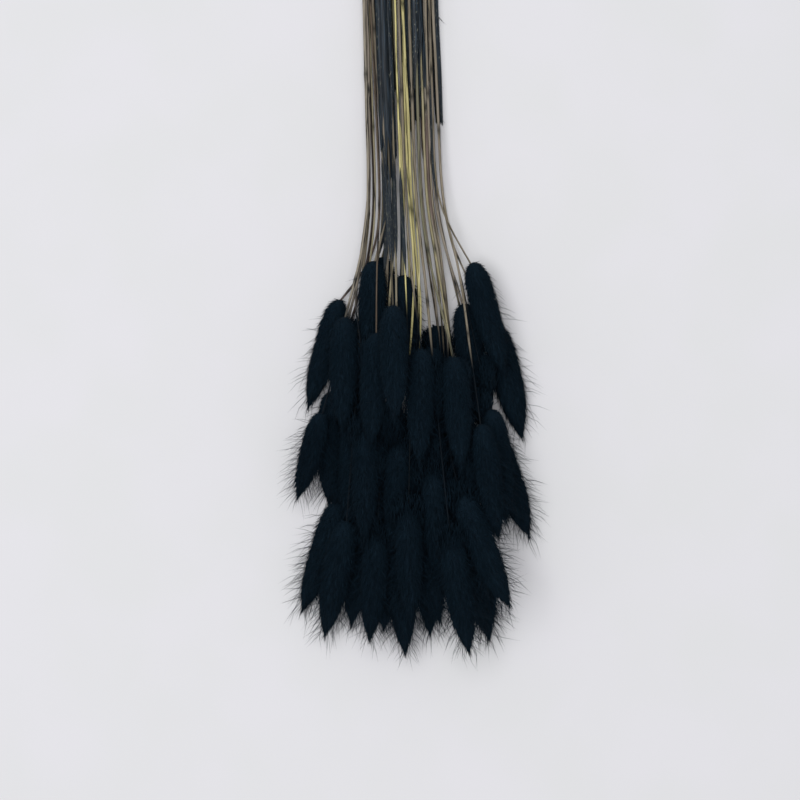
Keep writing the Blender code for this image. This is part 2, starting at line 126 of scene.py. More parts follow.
class Blank:
    """A new material with its shader and the few steps that the finishes share."""

    MIX_A, MIX_B, MIX_COLOUR = 6, 7, 2  # the colour sockets' places on a Mix node

    def __init__(self, name: str, roughness: float, specular: float, sheen: float = 0.0) -> None:
        """Makes the material.

        Args:
            name: the material's name.
            roughness: the shader's roughness.
            specular: its specular level.
            sheen: its sheen weight.
        """
        self.material = bpy.data.materials.new(name)
        self.material.use_nodes = True
        self.tree = self.material.node_tree
        self.tree.nodes.clear()
        self.shader = add_node(
            self.tree,
            "BsdfPrincipled",
            {"Roughness": roughness, "Specular IOR Level": specular, "Sheen Weight": sheen},
        )
        add_node(self.tree, "OutputMaterial", {"Surface": self.shader.outputs[0]})

    def attribute(self, name: str, output: str = "Fac") -> bpy.types.NodeSocket:
        """Reads a value that the mesh carries."""
        return add_node(self.tree, "Attribute", attribute_name=name).outputs[output]

    def place(self) -> bpy.types.NodeSocket:
        """Reads the object's own coordinates."""
        return add_node(self.tree, "TexCoord").outputs["Object"]

    def noise(
        self, source: bpy.types.NodeSocket, size: tuple[float, float, float], detail: float = 2.0
    ) -> bpy.types.NodeSocket:
        """Draws a noise pattern.

        Args:
            source: the coordinates that it follows.
            size: the pattern's real size along each axis, in metres.
            detail: how many finer layers it has.

        Returns:
            The pattern, about 0.25 to 0.75.
        """
        scaled = add_node(self.tree, "Mapping", {"Vector": source, "Scale": tuple(1 / s for s in size)})
        inputs = {"Vector": scaled.outputs[0], "Scale": 1.0, "Detail": detail}
        return add_node(self.tree, "TexNoise", inputs).outputs["Fac"]

    def window(self, value: bpy.types.NodeSocket, low: float, high: float) -> bpy.types.NodeSocket:
        """Stretches the range from low to high over 0 to 1, and cuts off what is outside."""
        inputs = {"Value": value, "From Min": low, "From Max": high}
        return add_node(self.tree, "MapRange", inputs, interpolation_type="SMOOTHSTEP").outputs[0]

    def times(self, one: bpy.types.NodeSocket, other: bpy.types.NodeSocket | float) -> bpy.types.NodeSocket:
        """Multiplies two values."""
        return add_node(self.tree, "Math", {0: one, 1: other}, operation="MULTIPLY").outputs[0]

    def ramp(self, source: bpy.types.NodeSocket, shades: tuple[str, ...]) -> bpy.types.NodeSocket:
        """Goes through colours as a value goes from 0 to 1.

        Args:
            source: the value.
            shades: the sRGB colours, evenly spaced.

        Returns:
            The colour.
        """
        node = add_node(self.tree, "ValToRGB", {"Fac": source})
        stops = node.color_ramp.elements
        for place in range(1, len(shades) - 1):
            stops.new(place / (len(shades) - 1))
        for stop, shade in zip(stops, shades):
            stop.color = linear(shade)
        return node.outputs["Color"]

    def blend(
        self,
        share: bpy.types.NodeSocket,
        one: bpy.types.NodeSocket | tuple[float, ...],
        other: bpy.types.NodeSocket | tuple[float, ...],
    ) -> bpy.types.NodeSocket:
        """Goes from one colour to the other as share goes from 0 to 1."""
        inputs = {0: share, self.MIX_A: one, self.MIX_B: other}
        return add_node(self.tree, "Mix", inputs, data_type="RGBA").outputs[self.MIX_COLOUR]

    def colour(self, source: bpy.types.NodeSocket) -> None:
        """Links the shader's base colour."""
        self.tree.links.new(source, self.shader.inputs["Base Color"])

    def bump(self, height: bpy.types.NodeSocket, depth: float, strength: float = 1.0) -> None:
        """Links a relief that is this deep in metres."""
        node = add_node(self.tree, "Bump", {"Height": height, "Distance": depth, "Strength": strength})
        self.tree.links.new(node.outputs[0], self.shader.inputs["Normal"])


@dataclass(frozen=True)
class DyedFluff:
    """Dried grass hair dyed black in a bath: it takes in nearly all light, with a blue cast and no gloss."""

    name: str = "dyed_grass_hair"
    deep: str = "0b1b26"
    usual: str = "0d1f2b"
    bright: str = "182c3a"
    tip: str = "152532"  # partly the dye, which is thinner in the fine tips, and partly a painted highlight where light catches them
    bright_from: float = 0.8  # tones past this go towards the bright shade
    tip_from: float = 0.55  # the share of a hair where its tip starts to pale
    tip_share: float = 0.5
    patch: float = 7 * MM
    patch_share: float = 0.35
    roughness: float = 0.85
    specular: float = 0.1

    def make(self) -> bpy.types.Material:
        """Builds the material: tone differs from tuft to tuft, and patches drift darker."""
        blank = Blank(self.name, self.roughness, self.specular)
        tone = blank.attribute("tone")
        usual = blank.window(tone, 0.0, self.bright_from)
        colour = blank.blend(usual, linear(self.deep), linear(self.usual))
        colour = blank.blend(blank.window(tone, self.bright_from, 1.0), colour, linear(self.bright))
        drift = blank.window(blank.noise(blank.place(), (self.patch,) * 3), 0.35, 0.65)
        colour = blank.blend(blank.times(drift, self.patch_share), colour, linear(self.deep))
        # Tips pale towards the tip shade: thinner dye, together with a painted highlight on the fine tips.
        tips = blank.window(blank.attribute("along"), self.tip_from, 1.0)
        blank.colour(blank.blend(blank.times(tips, self.tip_share), colour, linear(self.tip)))
        return blank.material


@dataclass(frozen=True)
class DryCulm:
    """A dried grass culm: matt, finely ribbed lengthways, smeared with the dye and black by its head."""

    name: str
    shades: tuple[str, ...]  # what the culms of this kind come in
    rib_shade: str
    dye: str = "0d151c"
    rib: float = 0.2 * MM
    relief: float = 0.06 * MM
    streak: float = 14 * MM
    streak_share: float = 0.75
    smear: float = 20 * MM
    smear_ribs: float = 3  # how many ribs wide a smear is
    smear_level: float = 0.56  # of the noise: higher leaves fewer smears
    smear_edge: float = 0.05
    smear_share: float = 0.85
    roughness: float = 0.7
    specular: float = 0.08

    def make(self) -> bpy.types.Material:
        """Builds the material on the culm's own straightened coordinates."""
        blank = Blank(self.name, self.roughness, self.specular)
        grain = blank.attribute("grain", "Vector")
        colour = blank.ramp(blank.attribute("tone"), self.shades)
        ribs = blank.noise(grain, (self.rib, self.rib, self.streak))
        streaks = blank.times(blank.window(ribs, 0.45, 0.7), self.streak_share)
        colour = blank.blend(streaks, colour, linear(self.rib_shade))
        width = self.smear_ribs * self.rib
        smears = blank.noise(grain, (width, width, self.smear), 3.0)
        smears = blank.window(smears, self.smear_level, self.smear_level + self.smear_edge)
        colour = blank.blend(blank.times(smears, self.smear_share), colour, linear(self.dye))
        blank.colour(blank.blend(blank.attribute("dyed"), colour, linear(self.dye)))
        blank.bump(ribs, self.relief)
        return blank.material


BROWN_SHADES = ("80716a", "4a3f3b", "877a66", "625b4b", "aaa294", "5a4d48")
STRAW_SHADES = ("e6dc9a", "8a8268", "cccba8", "4f4a42", "9a9081", "837b70", "ece2a6")  # yellow at the ends


@dataclass(frozen=True)
class DyedSheath:
    """A dried leaf sheath that took the dye: blue-black, slightly waxy, veined, flaked to pale in specks."""

    name: str = "dyed_leaf_sheath"
    deep: str = "091219"
    vein: str = "2c3a46"
    bare: str = "77776a"
    vein_width: float = 0.3 * MM
    vein_length: float = 16 * MM
    relief: float = 0.1 * MM
    speck: tuple[float, float, float] = (0.5 * MM, 0.5 * MM, 2.2 * MM)
    roughness: float = 0.5
    specular: float = 0.25

    def make(self) -> bpy.types.Material:
        """Builds the material on the sheath's own flattened coordinates."""
        blank = Blank(self.name, self.roughness, self.specular)
        grain = blank.attribute("grain", "Vector")
        veins = blank.noise(grain, (self.vein_width, self.vein_width, self.vein_length))
        colour = blank.blend(blank.window(veins, 0.4, 0.72), linear(self.deep), linear(self.vein))
        specks = blank.window(blank.noise(grain, self.speck, 4.0), 0.6, 0.68)
        flaked = blank.times(specks, blank.window(blank.attribute("tone"), 0.2, 1.0))
        blank.colour(blank.blend(flaked, colour, linear(self.bare)))
        blank.bump(veins, self.relief)
        return blank.material


@dataclass(frozen=True)
class JuteTwine:
    """Spun jute: dull tan plies of coarse fibre."""

    name: str = "spun_jute"
    pale: str = "b79b6c"
    dark: str = "6f5634"
    fibre: float = 0.12 * MM
    fibre_length: float = 2.5 * MM
    relief: float = 0.12 * MM
    roughness: float = 0.9
    specular: float = 0.15
    sheen: float = 0.15

    def make(self) -> bpy.types.Material:
        """Builds the material: fibres run along each ply."""
        blank = Blank(self.name, self.roughness, self.specular, self.sheen)
        fibres = blank.noise(blank.attribute("grain", "Vector"), (self.fibre, self.fibre, self.fibre_length))
        blank.colour(blank.blend(blank.window(fibres, 0.35, 0.7), linear(self.pale), linear(self.dark)))
        blank.bump(fibres, self.relief)
        return blank.material


@dataclass(frozen=True)
class PaleBoard:
    """Painted board under the bunch: nearly white and matt, with the faintest unevenness of the coat."""

    name: str = "pale_board"
    pale: str = "e4e3e7"
    other: str = "e2e2e4"
    patch: float = 60 * MM
    roughness: float = 0.9

    def make(self) -> bpy.types.Material:
        """Builds the floor's material."""
        blank = Blank(self.name, self.roughness, specular=0.0)
        patches = blank.window(blank.noise(blank.place(), (self.patch,) * 3), 0.3, 0.7)
        blank.colour(blank.blend(patches, linear(self.pale), linear(self.other)))
        return blank.material


def unit(rows: Array) -> Array:
    """Scales each row to a length of 1."""
    return rows / np.maximum(np.linalg.norm(rows, axis=-1, keepdims=True), 1e-12)


def above_floor(points: Array) -> Array:
    """Lays what would go below the floor along it, still in the order of its height.

    Args:
        points: the places, which are changed.

    Returns:
        The same places.
    """
    height = points[..., 2]
    pressed = FLOOR_GAP * np.exp(np.minimum(height - FLOOR_GAP, 0) / FLOOR_EASE)
    points[..., 2] = np.where(height < FLOOR_GAP, pressed, height)
    return points


def smooth_through(points: Array, step: float) -> Array:
    """Draws a smooth line through points.

    Args:
        points: the points in order.
        step: about how far apart the line's own points are.

    Returns:
        The line's points, the first and last of them the given ones.
    """
    gaps = np.linalg.norm(np.diff(points, axis=0), axis=1)
    knots = np.concatenate([[0], np.cumsum(gaps)])
    slopes = np.gradient(points, knots, axis=0) if len(points) > 2 else np.diff(points, axis=0)[[0, 0]] / gaps
    wanted = np.linspace(0, knots[-1], max(int(knots[-1] / step), 2) + 1)
    left = np.clip(np.searchsorted(knots, wanted, side="right") - 1, 0, len(gaps) - 1)
    gap = gaps[left][:, None]
    share = (wanted[:, None] - knots[left][:, None]) / gap
    start, end = points[left], points[left + 1]
    bulge = share * (1 - share)
    chord = (end - start) / gap
    leave, arrive = slopes[left] - chord, chord - slopes[left + 1]
    return start + (end - start) * share + gap * bulge * (leave * (1 - share) + arrive * share)


class Line:
    """A smooth line that a piece is bent along, with a side and a rise square to it everywhere."""

    def __init__(self, points: Array, reference: tuple[float, float, float]) -> None:
        """Measures the line.

        Args:
            points: its points, close together.
            reference: a direction that the line never runs in, which the rise stays near.
        """
        gaps = np.linalg.norm(np.diff(points, axis=0), axis=1)
        self.travel = np.concatenate([[0], np.cumsum(gaps)])
        self.length = float(self.travel[-1])
        self.points = points
        self.ways = unit(np.gradient(points, self.travel, axis=0))
        self.reference = np.array(reference)

    def at(self, distance: Array) -> tuple[Array, Array, Array, Array]:
        """Gives the line's place and directions.

        Args:
            distance: how far along it, in metres. Before its start and past its end it runs on straight.

        Returns:
            The places, and the directions along it, to its side and to its rise, a row each.
        """
        inside = np.clip(distance, 0, self.length)
        columns = range(3)
        place = np.stack([np.interp(inside, self.travel, self.points[:, c]) for c in columns], axis=-1)
        way = unit(np.stack([np.interp(inside, self.travel, self.ways[:, c]) for c in columns], axis=-1))
        place += way * (distance - inside)[..., None]
        side = unit(np.cross(self.reference, way))
        return place, way, side, np.cross(way, side)


def cone(sides: int, top: float) -> Shape:
    """A closed cone from z 0, where its radius is 1, to z 1.

    Args:
        sides: how many sides it has.
        top: its radius at z 1.

    Returns:
        The shape, which the caller frees.
    """
    shape = bmesh.new()
    lift = Matrix.Translation((0, 0, 0.5))
    bmesh.ops.create_cone(shape, cap_ends=True, segments=sides, radius1=1, radius2=top, depth=1, matrix=lift)
    return shape


def rod(sides: int, spans: int) -> Shape:
    """A closed tube of radius 1 from z 0 to z 1, with rings of vertices between its ends.

    Args:
        sides: how many sides it has.
        spans: how many lengths its rings part it into.

    Returns:
        The shape, which the caller frees.
    """
    shape = cone(sides, top=1)
    long_edges = [edge for edge in shape.edges if abs(edge.verts[0].co.z - edge.verts[1].co.z) > 0.5]
    if spans > 1:
        bmesh.ops.subdivide_edges(shape, edges=long_edges, cuts=spans - 1, use_grid_fill=True)
    return shape


def slab(across: int, along: int) -> Shape:
    """A closed slab from 0 to 1 each way.

    Args:
        across: how many spans its rows of vertices part it into along x.
        along: how many along z. It has one through y.

    Returns:
        The shape, which the caller frees.
    """
    shape = bmesh.new()
    bmesh.ops.create_cube(shape, size=1, matrix=Matrix.Translation((0.5, 0.5, 0.5)))
    for axis, cuts in ((0, across - 1), (2, along - 1)):
        edges = [edge for edge in shape.edges if abs(edge.verts[0].co[axis] - edge.verts[1].co[axis]) > 0.5]
        bmesh.ops.subdivide_edges(shape, edges=edges, cuts=cuts, use_grid_fill=True)
    return shape


def coordinates(shape: Shape) -> Array:
    """The shape's vertices, a row each."""
    return np.array([vert.co[:] for vert in shape.verts])


def all_of(shape: Shape) -> list[Any]:
    """The shape's vertices, edges and faces."""
    return shape.verts[:] + shape.edges[:] + shape.faces[:]


def to_mesh(shape: Shape, name: str, places: Array | None = None) -> bpy.types.Mesh:
    """Turns a shape into a mesh, and frees the shape.

    Args:
        shape: the shape.
        name: the mesh's name.
        places: where its vertices go, or None where they stay.

    Returns:
        The mesh.
    """
    mesh = bpy.data.meshes.new(name)
    shape.to_mesh(mesh)
    shape.free()
    if places is not None:
        mesh.vertices.foreach_set("co", places.astype(np.float32).ravel())
        mesh.update()
    return mesh


def to_shape(mesh: bpy.types.Mesh) -> Shape:
    """Copies a mesh.

    Args:
        mesh: the mesh.

    Returns:
        The shape, which the caller frees.
    """
    shape = bmesh.new()
    shape.from_mesh(mesh)
    return shape


def add_object(name: str, data: bpy.types.ID) -> bpy.types.Object:
    """Puts a new object into the scene.

    Args:
        name: its name.
        data: its mesh, lamp or camera.

    Returns:
        The object.
    """
    made = bpy.data.objects.new(name, data)
    bpy.context.scene.collection.objects.link(made)
    return made


@dataclass
class Gathering:
    """Meshes that become one piece, with the values on their vertices that its material reads."""

    shape: Shape = field(default_factory=bmesh.new)
    values: dict[str, list[Array]] = field(default_factory=dict)

    def add(self, mesh: bpy.types.Mesh, **values: Array | float) -> None:
        """Adds a mesh.

        Args:
            mesh: the mesh, which is removed.
            values: each value's name, with one for all vertices or a row for each. Every mesh has them.
        """
        for name, value in values.items():
            whole = value if isinstance(value, np.ndarray) else np.full(len(mesh.vertices), value)
            self.values.setdefault(name, []).append(whole)
        self.shape.from_mesh(mesh)
        bpy.data.meshes.remove(mesh)

    def finish(
        self, name: str, material: bpy.types.Material, slot: str, node: str, crease: float | None = None
    ) -> None:
        """Makes the piece, hangs it on the bunch's body and hides the CAD node that it stands for.

        Args:
            name: the piece's name.
            material: its material.
            slot: not used.
            node: the CAD node that it stands for.
            crease: the angle from which an edge is sharp, or None where all is smooth.
        """
        mesh = to_mesh(self.shape, name)
        mesh.shade_smooth()
        if crease is not None:
            mesh.set_sharp_from_angle(angle=crease)
        for value_name, parts in self.values.items():
            whole = np.concatenate(parts).astype(np.float32)
            kind, key = ("FLOAT_VECTOR", "vector") if whole.ndim == 2 else ("FLOAT", "value")
            mesh.attributes.new(value_name, kind, "POINT").data.foreach_set(key, whole.ravel())
        mesh.materials.append(material)
        piece = add_object(name, mesh)
        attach(piece, BODY)
        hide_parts(node)
        log.info("%s: %d triangles", name, sum(len(face.vertices) - 2 for face in mesh.polygons))


def merged_copy(node: str) -> Shape:
    """Copies a CAD node's loose triangles, and joins them.

    Args:
        node: its name.

    Returns:
        The shape, which the caller frees.
    """
    shape = to_shape(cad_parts[node].data)
    bmesh.ops.remove_doubles(shape, verts=shape.verts, dist=SAME_PLACE)
    return shape


@dataclass(frozen=True)
class HairKind:
    """One kind of hair in a head's coat."""

    count: int
    length: tuple[float, float]
    thickness: float
    lean: tuple[float, float, float]  # degrees out of the surface, at the base, towards the tip and at it
    lean_varies: float
    sweep: float  # degrees that hairs stray to the side
    bow: float  # how far a hair bends outwards, as a share of its length
    joints: int
    start: float  # the share of the head's length below which none grows
    tipward: float  # how much denser it is at the tip than in the middle
    gather: float  # how far the tips in a tuft draw together
    base_share: float  # the length at the base, as a share of that further on
    brightness: tuple[float, float]
    draw_in: float = 1.0  # how far the hair round the tip is drawn in to a point
    drawn_from: float = 0.72  # the share of the head's length where that starts
    drawn_over: float = 0.2  # and the share of it over which it grows
    full: float = 1.0  # 1 tapers evenly, and more keeps a hair's width nearly to its tip
    rooted: float = 0.3 * MM  # how deep in the core it starts
    thickness_varies: tuple[float, float] = (0.75, 1.25)
    bow_varies: tuple[float, float] = (0.2, 1.8)
    in_tier: dict[str, float] = field(default_factory=dict)  # the share of the count that a tier has


FUZZ = HairKind(
    count=2900,
    length=(2.6 * MM, 4.2 * MM),
    thickness=0.28 * MM,
    lean=(34, 9, 3),
    lean_varies=5,
    sweep=8,
    bow=0,
    joints=0,
    start=0.0,
    tipward=0.0,
    gather=0.12,
    base_share=0.55,
    brightness=(0.0, 0.8),
)
LOCKS = HairKind(
    count=900,
    length=(4.2 * MM, 7.2 * MM),
    thickness=0.55 * MM,
    lean=(30, 11, 6),
    lean_varies=5,
    sweep=9,
    bow=0,
    joints=0,
    start=0.0,
    tipward=0.1,
    gather=0.0,
    base_share=0.45,
    brightness=(0.0, 1.0),
    draw_in=0.6,
)
AWNS = HairKind(
    count=300,
    length=(7 * MM, 17 * MM),
    thickness=0.2 * MM,
    lean=(54, 42, 34),
    lean_varies=18,
    sweep=26,
    bow=0.06,
    joints=1,
    start=0.12,
    tipward=0.6,
    gather=0.0,
    base_share=0.4,
    brightness=(0.0, 0.5),
    draw_in=0.0,
    full=4.0,
    in_tier={"upper": 0.32, "middle": 0.8, "lower": 1.0},  # the lower heads are rubbed the least
)
BRIGHTER_IN_TIER = {"upper": 0.0, "middle": 0.04, "lower": 0.16}


@dataclass
class Coat:
    """The hair of one kind for every head: one mesh of needles, which each head lays out its own way."""

    kind: HairKind
    sides: int = 3
    pattern: bpy.types.Mesh = field(init=False)

    def __post_init__(self) -> None:
        """Makes one needle from a cone, and doubles it until there are enough, each with its number."""
        shape = cone(self.sides, top=0)
        for joint in range(1, self.kind.joints + 1):
            plane = {"plane_co": (0, 0, joint / (self.kind.joints + 1)), "plane_no": (0, 0, 1)}
            bmesh.ops.bisect_plane(shape, geom=all_of(shape), **plane)
        number = shape.verts.layers.int.new("number")
        made = 1
        while made < self.kind.count:
            for part in bmesh.ops.duplicate(shape, geom=all_of(shape))["geom"]:
                if isinstance(part, bmesh.types.BMVert):
                    part[number] += made
            made *= 2
        self.pattern = to_mesh(shape, "needles")

    def needles(self, count: int) -> tuple[bpy.types.Mesh, Array, Array]:
        """Copies some of the needles.

        Args:
            count: how many.

        Returns:
            Their mesh, and for each vertex the number of its needle and its place on it.
        """
        shape = to_shape(self.pattern)
        number = shape.verts.layers.int["number"]
        spare = [vert for vert in shape.verts if vert[number] >= count]
        bmesh.ops.delete(shape, geom=spare, context="VERTS")
        numbers = np.array([vert[number] for vert in shape.verts])
        places = coordinates(shape)
        shape.verts.layers.int.remove(number)
        return to_mesh(shape, "hairs"), numbers, places

    def lay(
        self, root: Array, span: Array, side: Array, rise: Array, bow: Array | float = 0.0
    ) -> tuple[bpy.types.Mesh, Array, Array]:
        """Lays needles out, one for each row.

        Args:
            root: where each starts.
            span: the way from there to its tip.
            side: half its width, in one direction across it.
            rise: half its width, in the other.
            bow: how far its middle is bent out.

        Returns:
            Their mesh, and for each vertex the number of its needle and its share along it.
        """
        mesh, hair, places = self.needles(len(root))
        x, y, z = places.T[..., None]
        x, y = [offset * (1 - z**self.kind.full) / np.maximum(1 - z, 1e-6) for offset in (x, y)]
        bow = np.broadcast_to(bow, span.shape)
        points = root[hair] + span[hair] * z + bow[hair] * 4 * z * (1 - z)
        points += side[hair] * x + rise[hair] * y
        mesh.vertices.foreach_set("co", above_floor(points).astype(np.float32).ravel())
        return mesh, hair, places[:, 2]

    def grow(
        self, head: "FluffyHead", others: list["FluffyHead"], rng: np.random.Generator
    ) -> tuple[bpy.types.Mesh, Array, Array]:
        """Lays the coat out on a head, without the hairs that would run inside the heads beside it.

        Args:
            head: the head.
            others: the heads that may be beside it.
            rng: the source of random numbers.

        Returns:
            The hairs' mesh, and each vertex's tone and share along its hair.
        """
        kind = self.kind
        count = int(kind.count * kind.in_tier.get(head.tier, 1))
        share, turn = head.spread(count, kind.start, kind.tipward, rng)
        root, flow, out = head.surface(share, turn)
        aim = unit(head.point - root)
        near_tip = np.clip((share - kind.drawn_from) / kind.drawn_over, 0, 1) * kind.draw_in
        flow = unit(flow + (aim - flow) * near_tip[:, None])
        lean = np.radians(np.interp(share, [0, 0.8, 1], kind.lean) + rng.normal(0, kind.lean_varies, count))
        sweep = np.radians(rng.normal(0, kind.sweep, count))
        across = np.cross(out, flow)
        way = flow * np.cos(lean)[:, None] + out * np.sin(lean)[:, None]
        way = unit(way + across * np.tan(sweep)[:, None])
        length = rng.uniform(*kind.length, count) * np.interp(share, [0, 0.25], [kind.base_share, 1])
        root = root - out * kind.rooted
        tip = root + way * length[:, None]
        tuft, tuft_tips, tuft_tones = head.tuft_of(share, turn, float(np.mean(kind.length)))
        tip += (tuft_tips[tuft] - tip) * kind.gather
        tip = np.clip(tip, *HAIR_BOX)
        shown = ~np.any([other.holds((root + tip) / 2) for other in others], axis=0)
        root, tip, out, tuft = root[shown], tip[shown], out[shown], tuft[shown]
        count = len(root)
        span = tip - root
        side = unit(np.cross(span, out))
        rise = unit(np.cross(side, span))
        half = (kind.thickness / 2 * rng.uniform(*kind.thickness_varies, count))[:, None]
        bow = (np.linalg.norm(span, axis=1) * kind.bow * rng.uniform(*kind.bow_varies, count))[:, None]
        mesh, hair, along = self.lay(root, span, side * half, rise * half, rise * bow)
        low, high = kind.brightness
        tone = low + (high - low) * (rng.uniform(0, 1, count) + tuft_tones[tuft]) / 2
        tone = np.minimum(tone + BRIGHTER_IN_TIER[head.tier], 1)
        return mesh, tone[hair], along


@dataclass(frozen=True)
class Wisp:
    """A tangle of loose hair in a gap between heads, or over the base of one that starts under others."""

    middle: tuple[float, float, float]
    reach: tuple[float, float, float]
    count: int = 1100
    length: tuple[float, float] = (6 * MM, 10 * MM)
    thickness: float = 0.5 * MM
    way: tuple[float, float, float] = (0, -1, 0)
    stray: float = 0.22
    brightness: tuple[float, float] = (0.0, 0.7)

    def scatter(self, coat: Coat, rng: np.random.Generator) -> tuple[bpy.types.Mesh, Array, Array]:
        """Lays the hairs out, most of them along the heads.

        Args:
            coat: the coat whose needles it uses.
            rng: the source of random numbers.

        Returns:
            The hairs' mesh, and each vertex's tone and share along its hair.
        """
        ball = unit(rng.normal(0, 1, (self.count, 3))) * rng.uniform(0, 1, (self.count, 1)) ** (1 / 3)
        way = unit(np.array(self.way) + rng.normal(0, self.stray, (self.count, 3)))
        span = way * rng.uniform(*self.length, (self.count, 1))
        root = np.array(self.middle) + ball * np.array(self.reach) - span / 2
        side = unit(np.cross(span, (0, 0, 1)))
        rise = unit(np.cross(side, span))
        half = self.thickness / 2
        mesh, hair, along = coat.lay(root, span, side * half, rise * half)
        return mesh, rng.uniform(*self.brightness, self.count)[hair], along


WISPS = {
    "head_upper_07": (Wisp((-11 * MM, -117.5 * MM, 28 * MM), (6.5 * MM, 10 * MM, 7 * MM), count=1300),),
    "head_upper_09": (Wisp((10.5 * MM, -134 * MM, 27 * MM), (6 * MM, 11 * MM, 8 * MM), count=1200),),
    "head_upper_12": (Wisp((11.5 * MM, -104 * MM, 33 * MM), (2.5 * MM, 11 * MM, 4 * MM), count=600),),
    "head_upper_15": (
        Wisp((36.5 * MM, -95 * MM, 17 * MM), (4.5 * MM, 10 * MM, 6 * MM), count=900),
        Wisp((34 * MM, -109 * MM, 18 * MM), (5 * MM, 8 * MM, 6 * MM), count=900),
        # a few hairs that stand off the upper right head
        Wisp(
            (45.5 * MM, -74 * MM, 16 * MM),
            (1.2 * MM, 1.2 * MM, 1 * MM),
            count=22,
            thickness=0.3 * MM,
            way=(1, -0.6, 0),
        ),
    ),
    "head_middle_03": (Wisp((-38.5 * MM, -152.5 * MM, 8 * MM), (3.5 * MM, 4.5 * MM, 3 * MM), count=450),),
    "head_middle_06": (Wisp((-17 * MM, -139 * MM, 26 * MM), (2.5 * MM, 9 * MM, 3 * MM), count=450),),
    "head_middle_07": (Wisp((0, -146 * MM, 22 * MM), (4.5 * MM, 12 * MM, 6 * MM), count=1100),),
    "head_middle_08": (Wisp((18.5 * MM, -157 * MM, 31 * MM), (3.5 * MM, 12 * MM, 5 * MM), count=800),),
    "head_lower_13": (
        Wisp((37.5 * MM, -165.5 * MM, 34 * MM), (3.5 * MM, 9 * MM, 6 * MM), count=500, way=(0.4, -1, 0)),
    ),
}


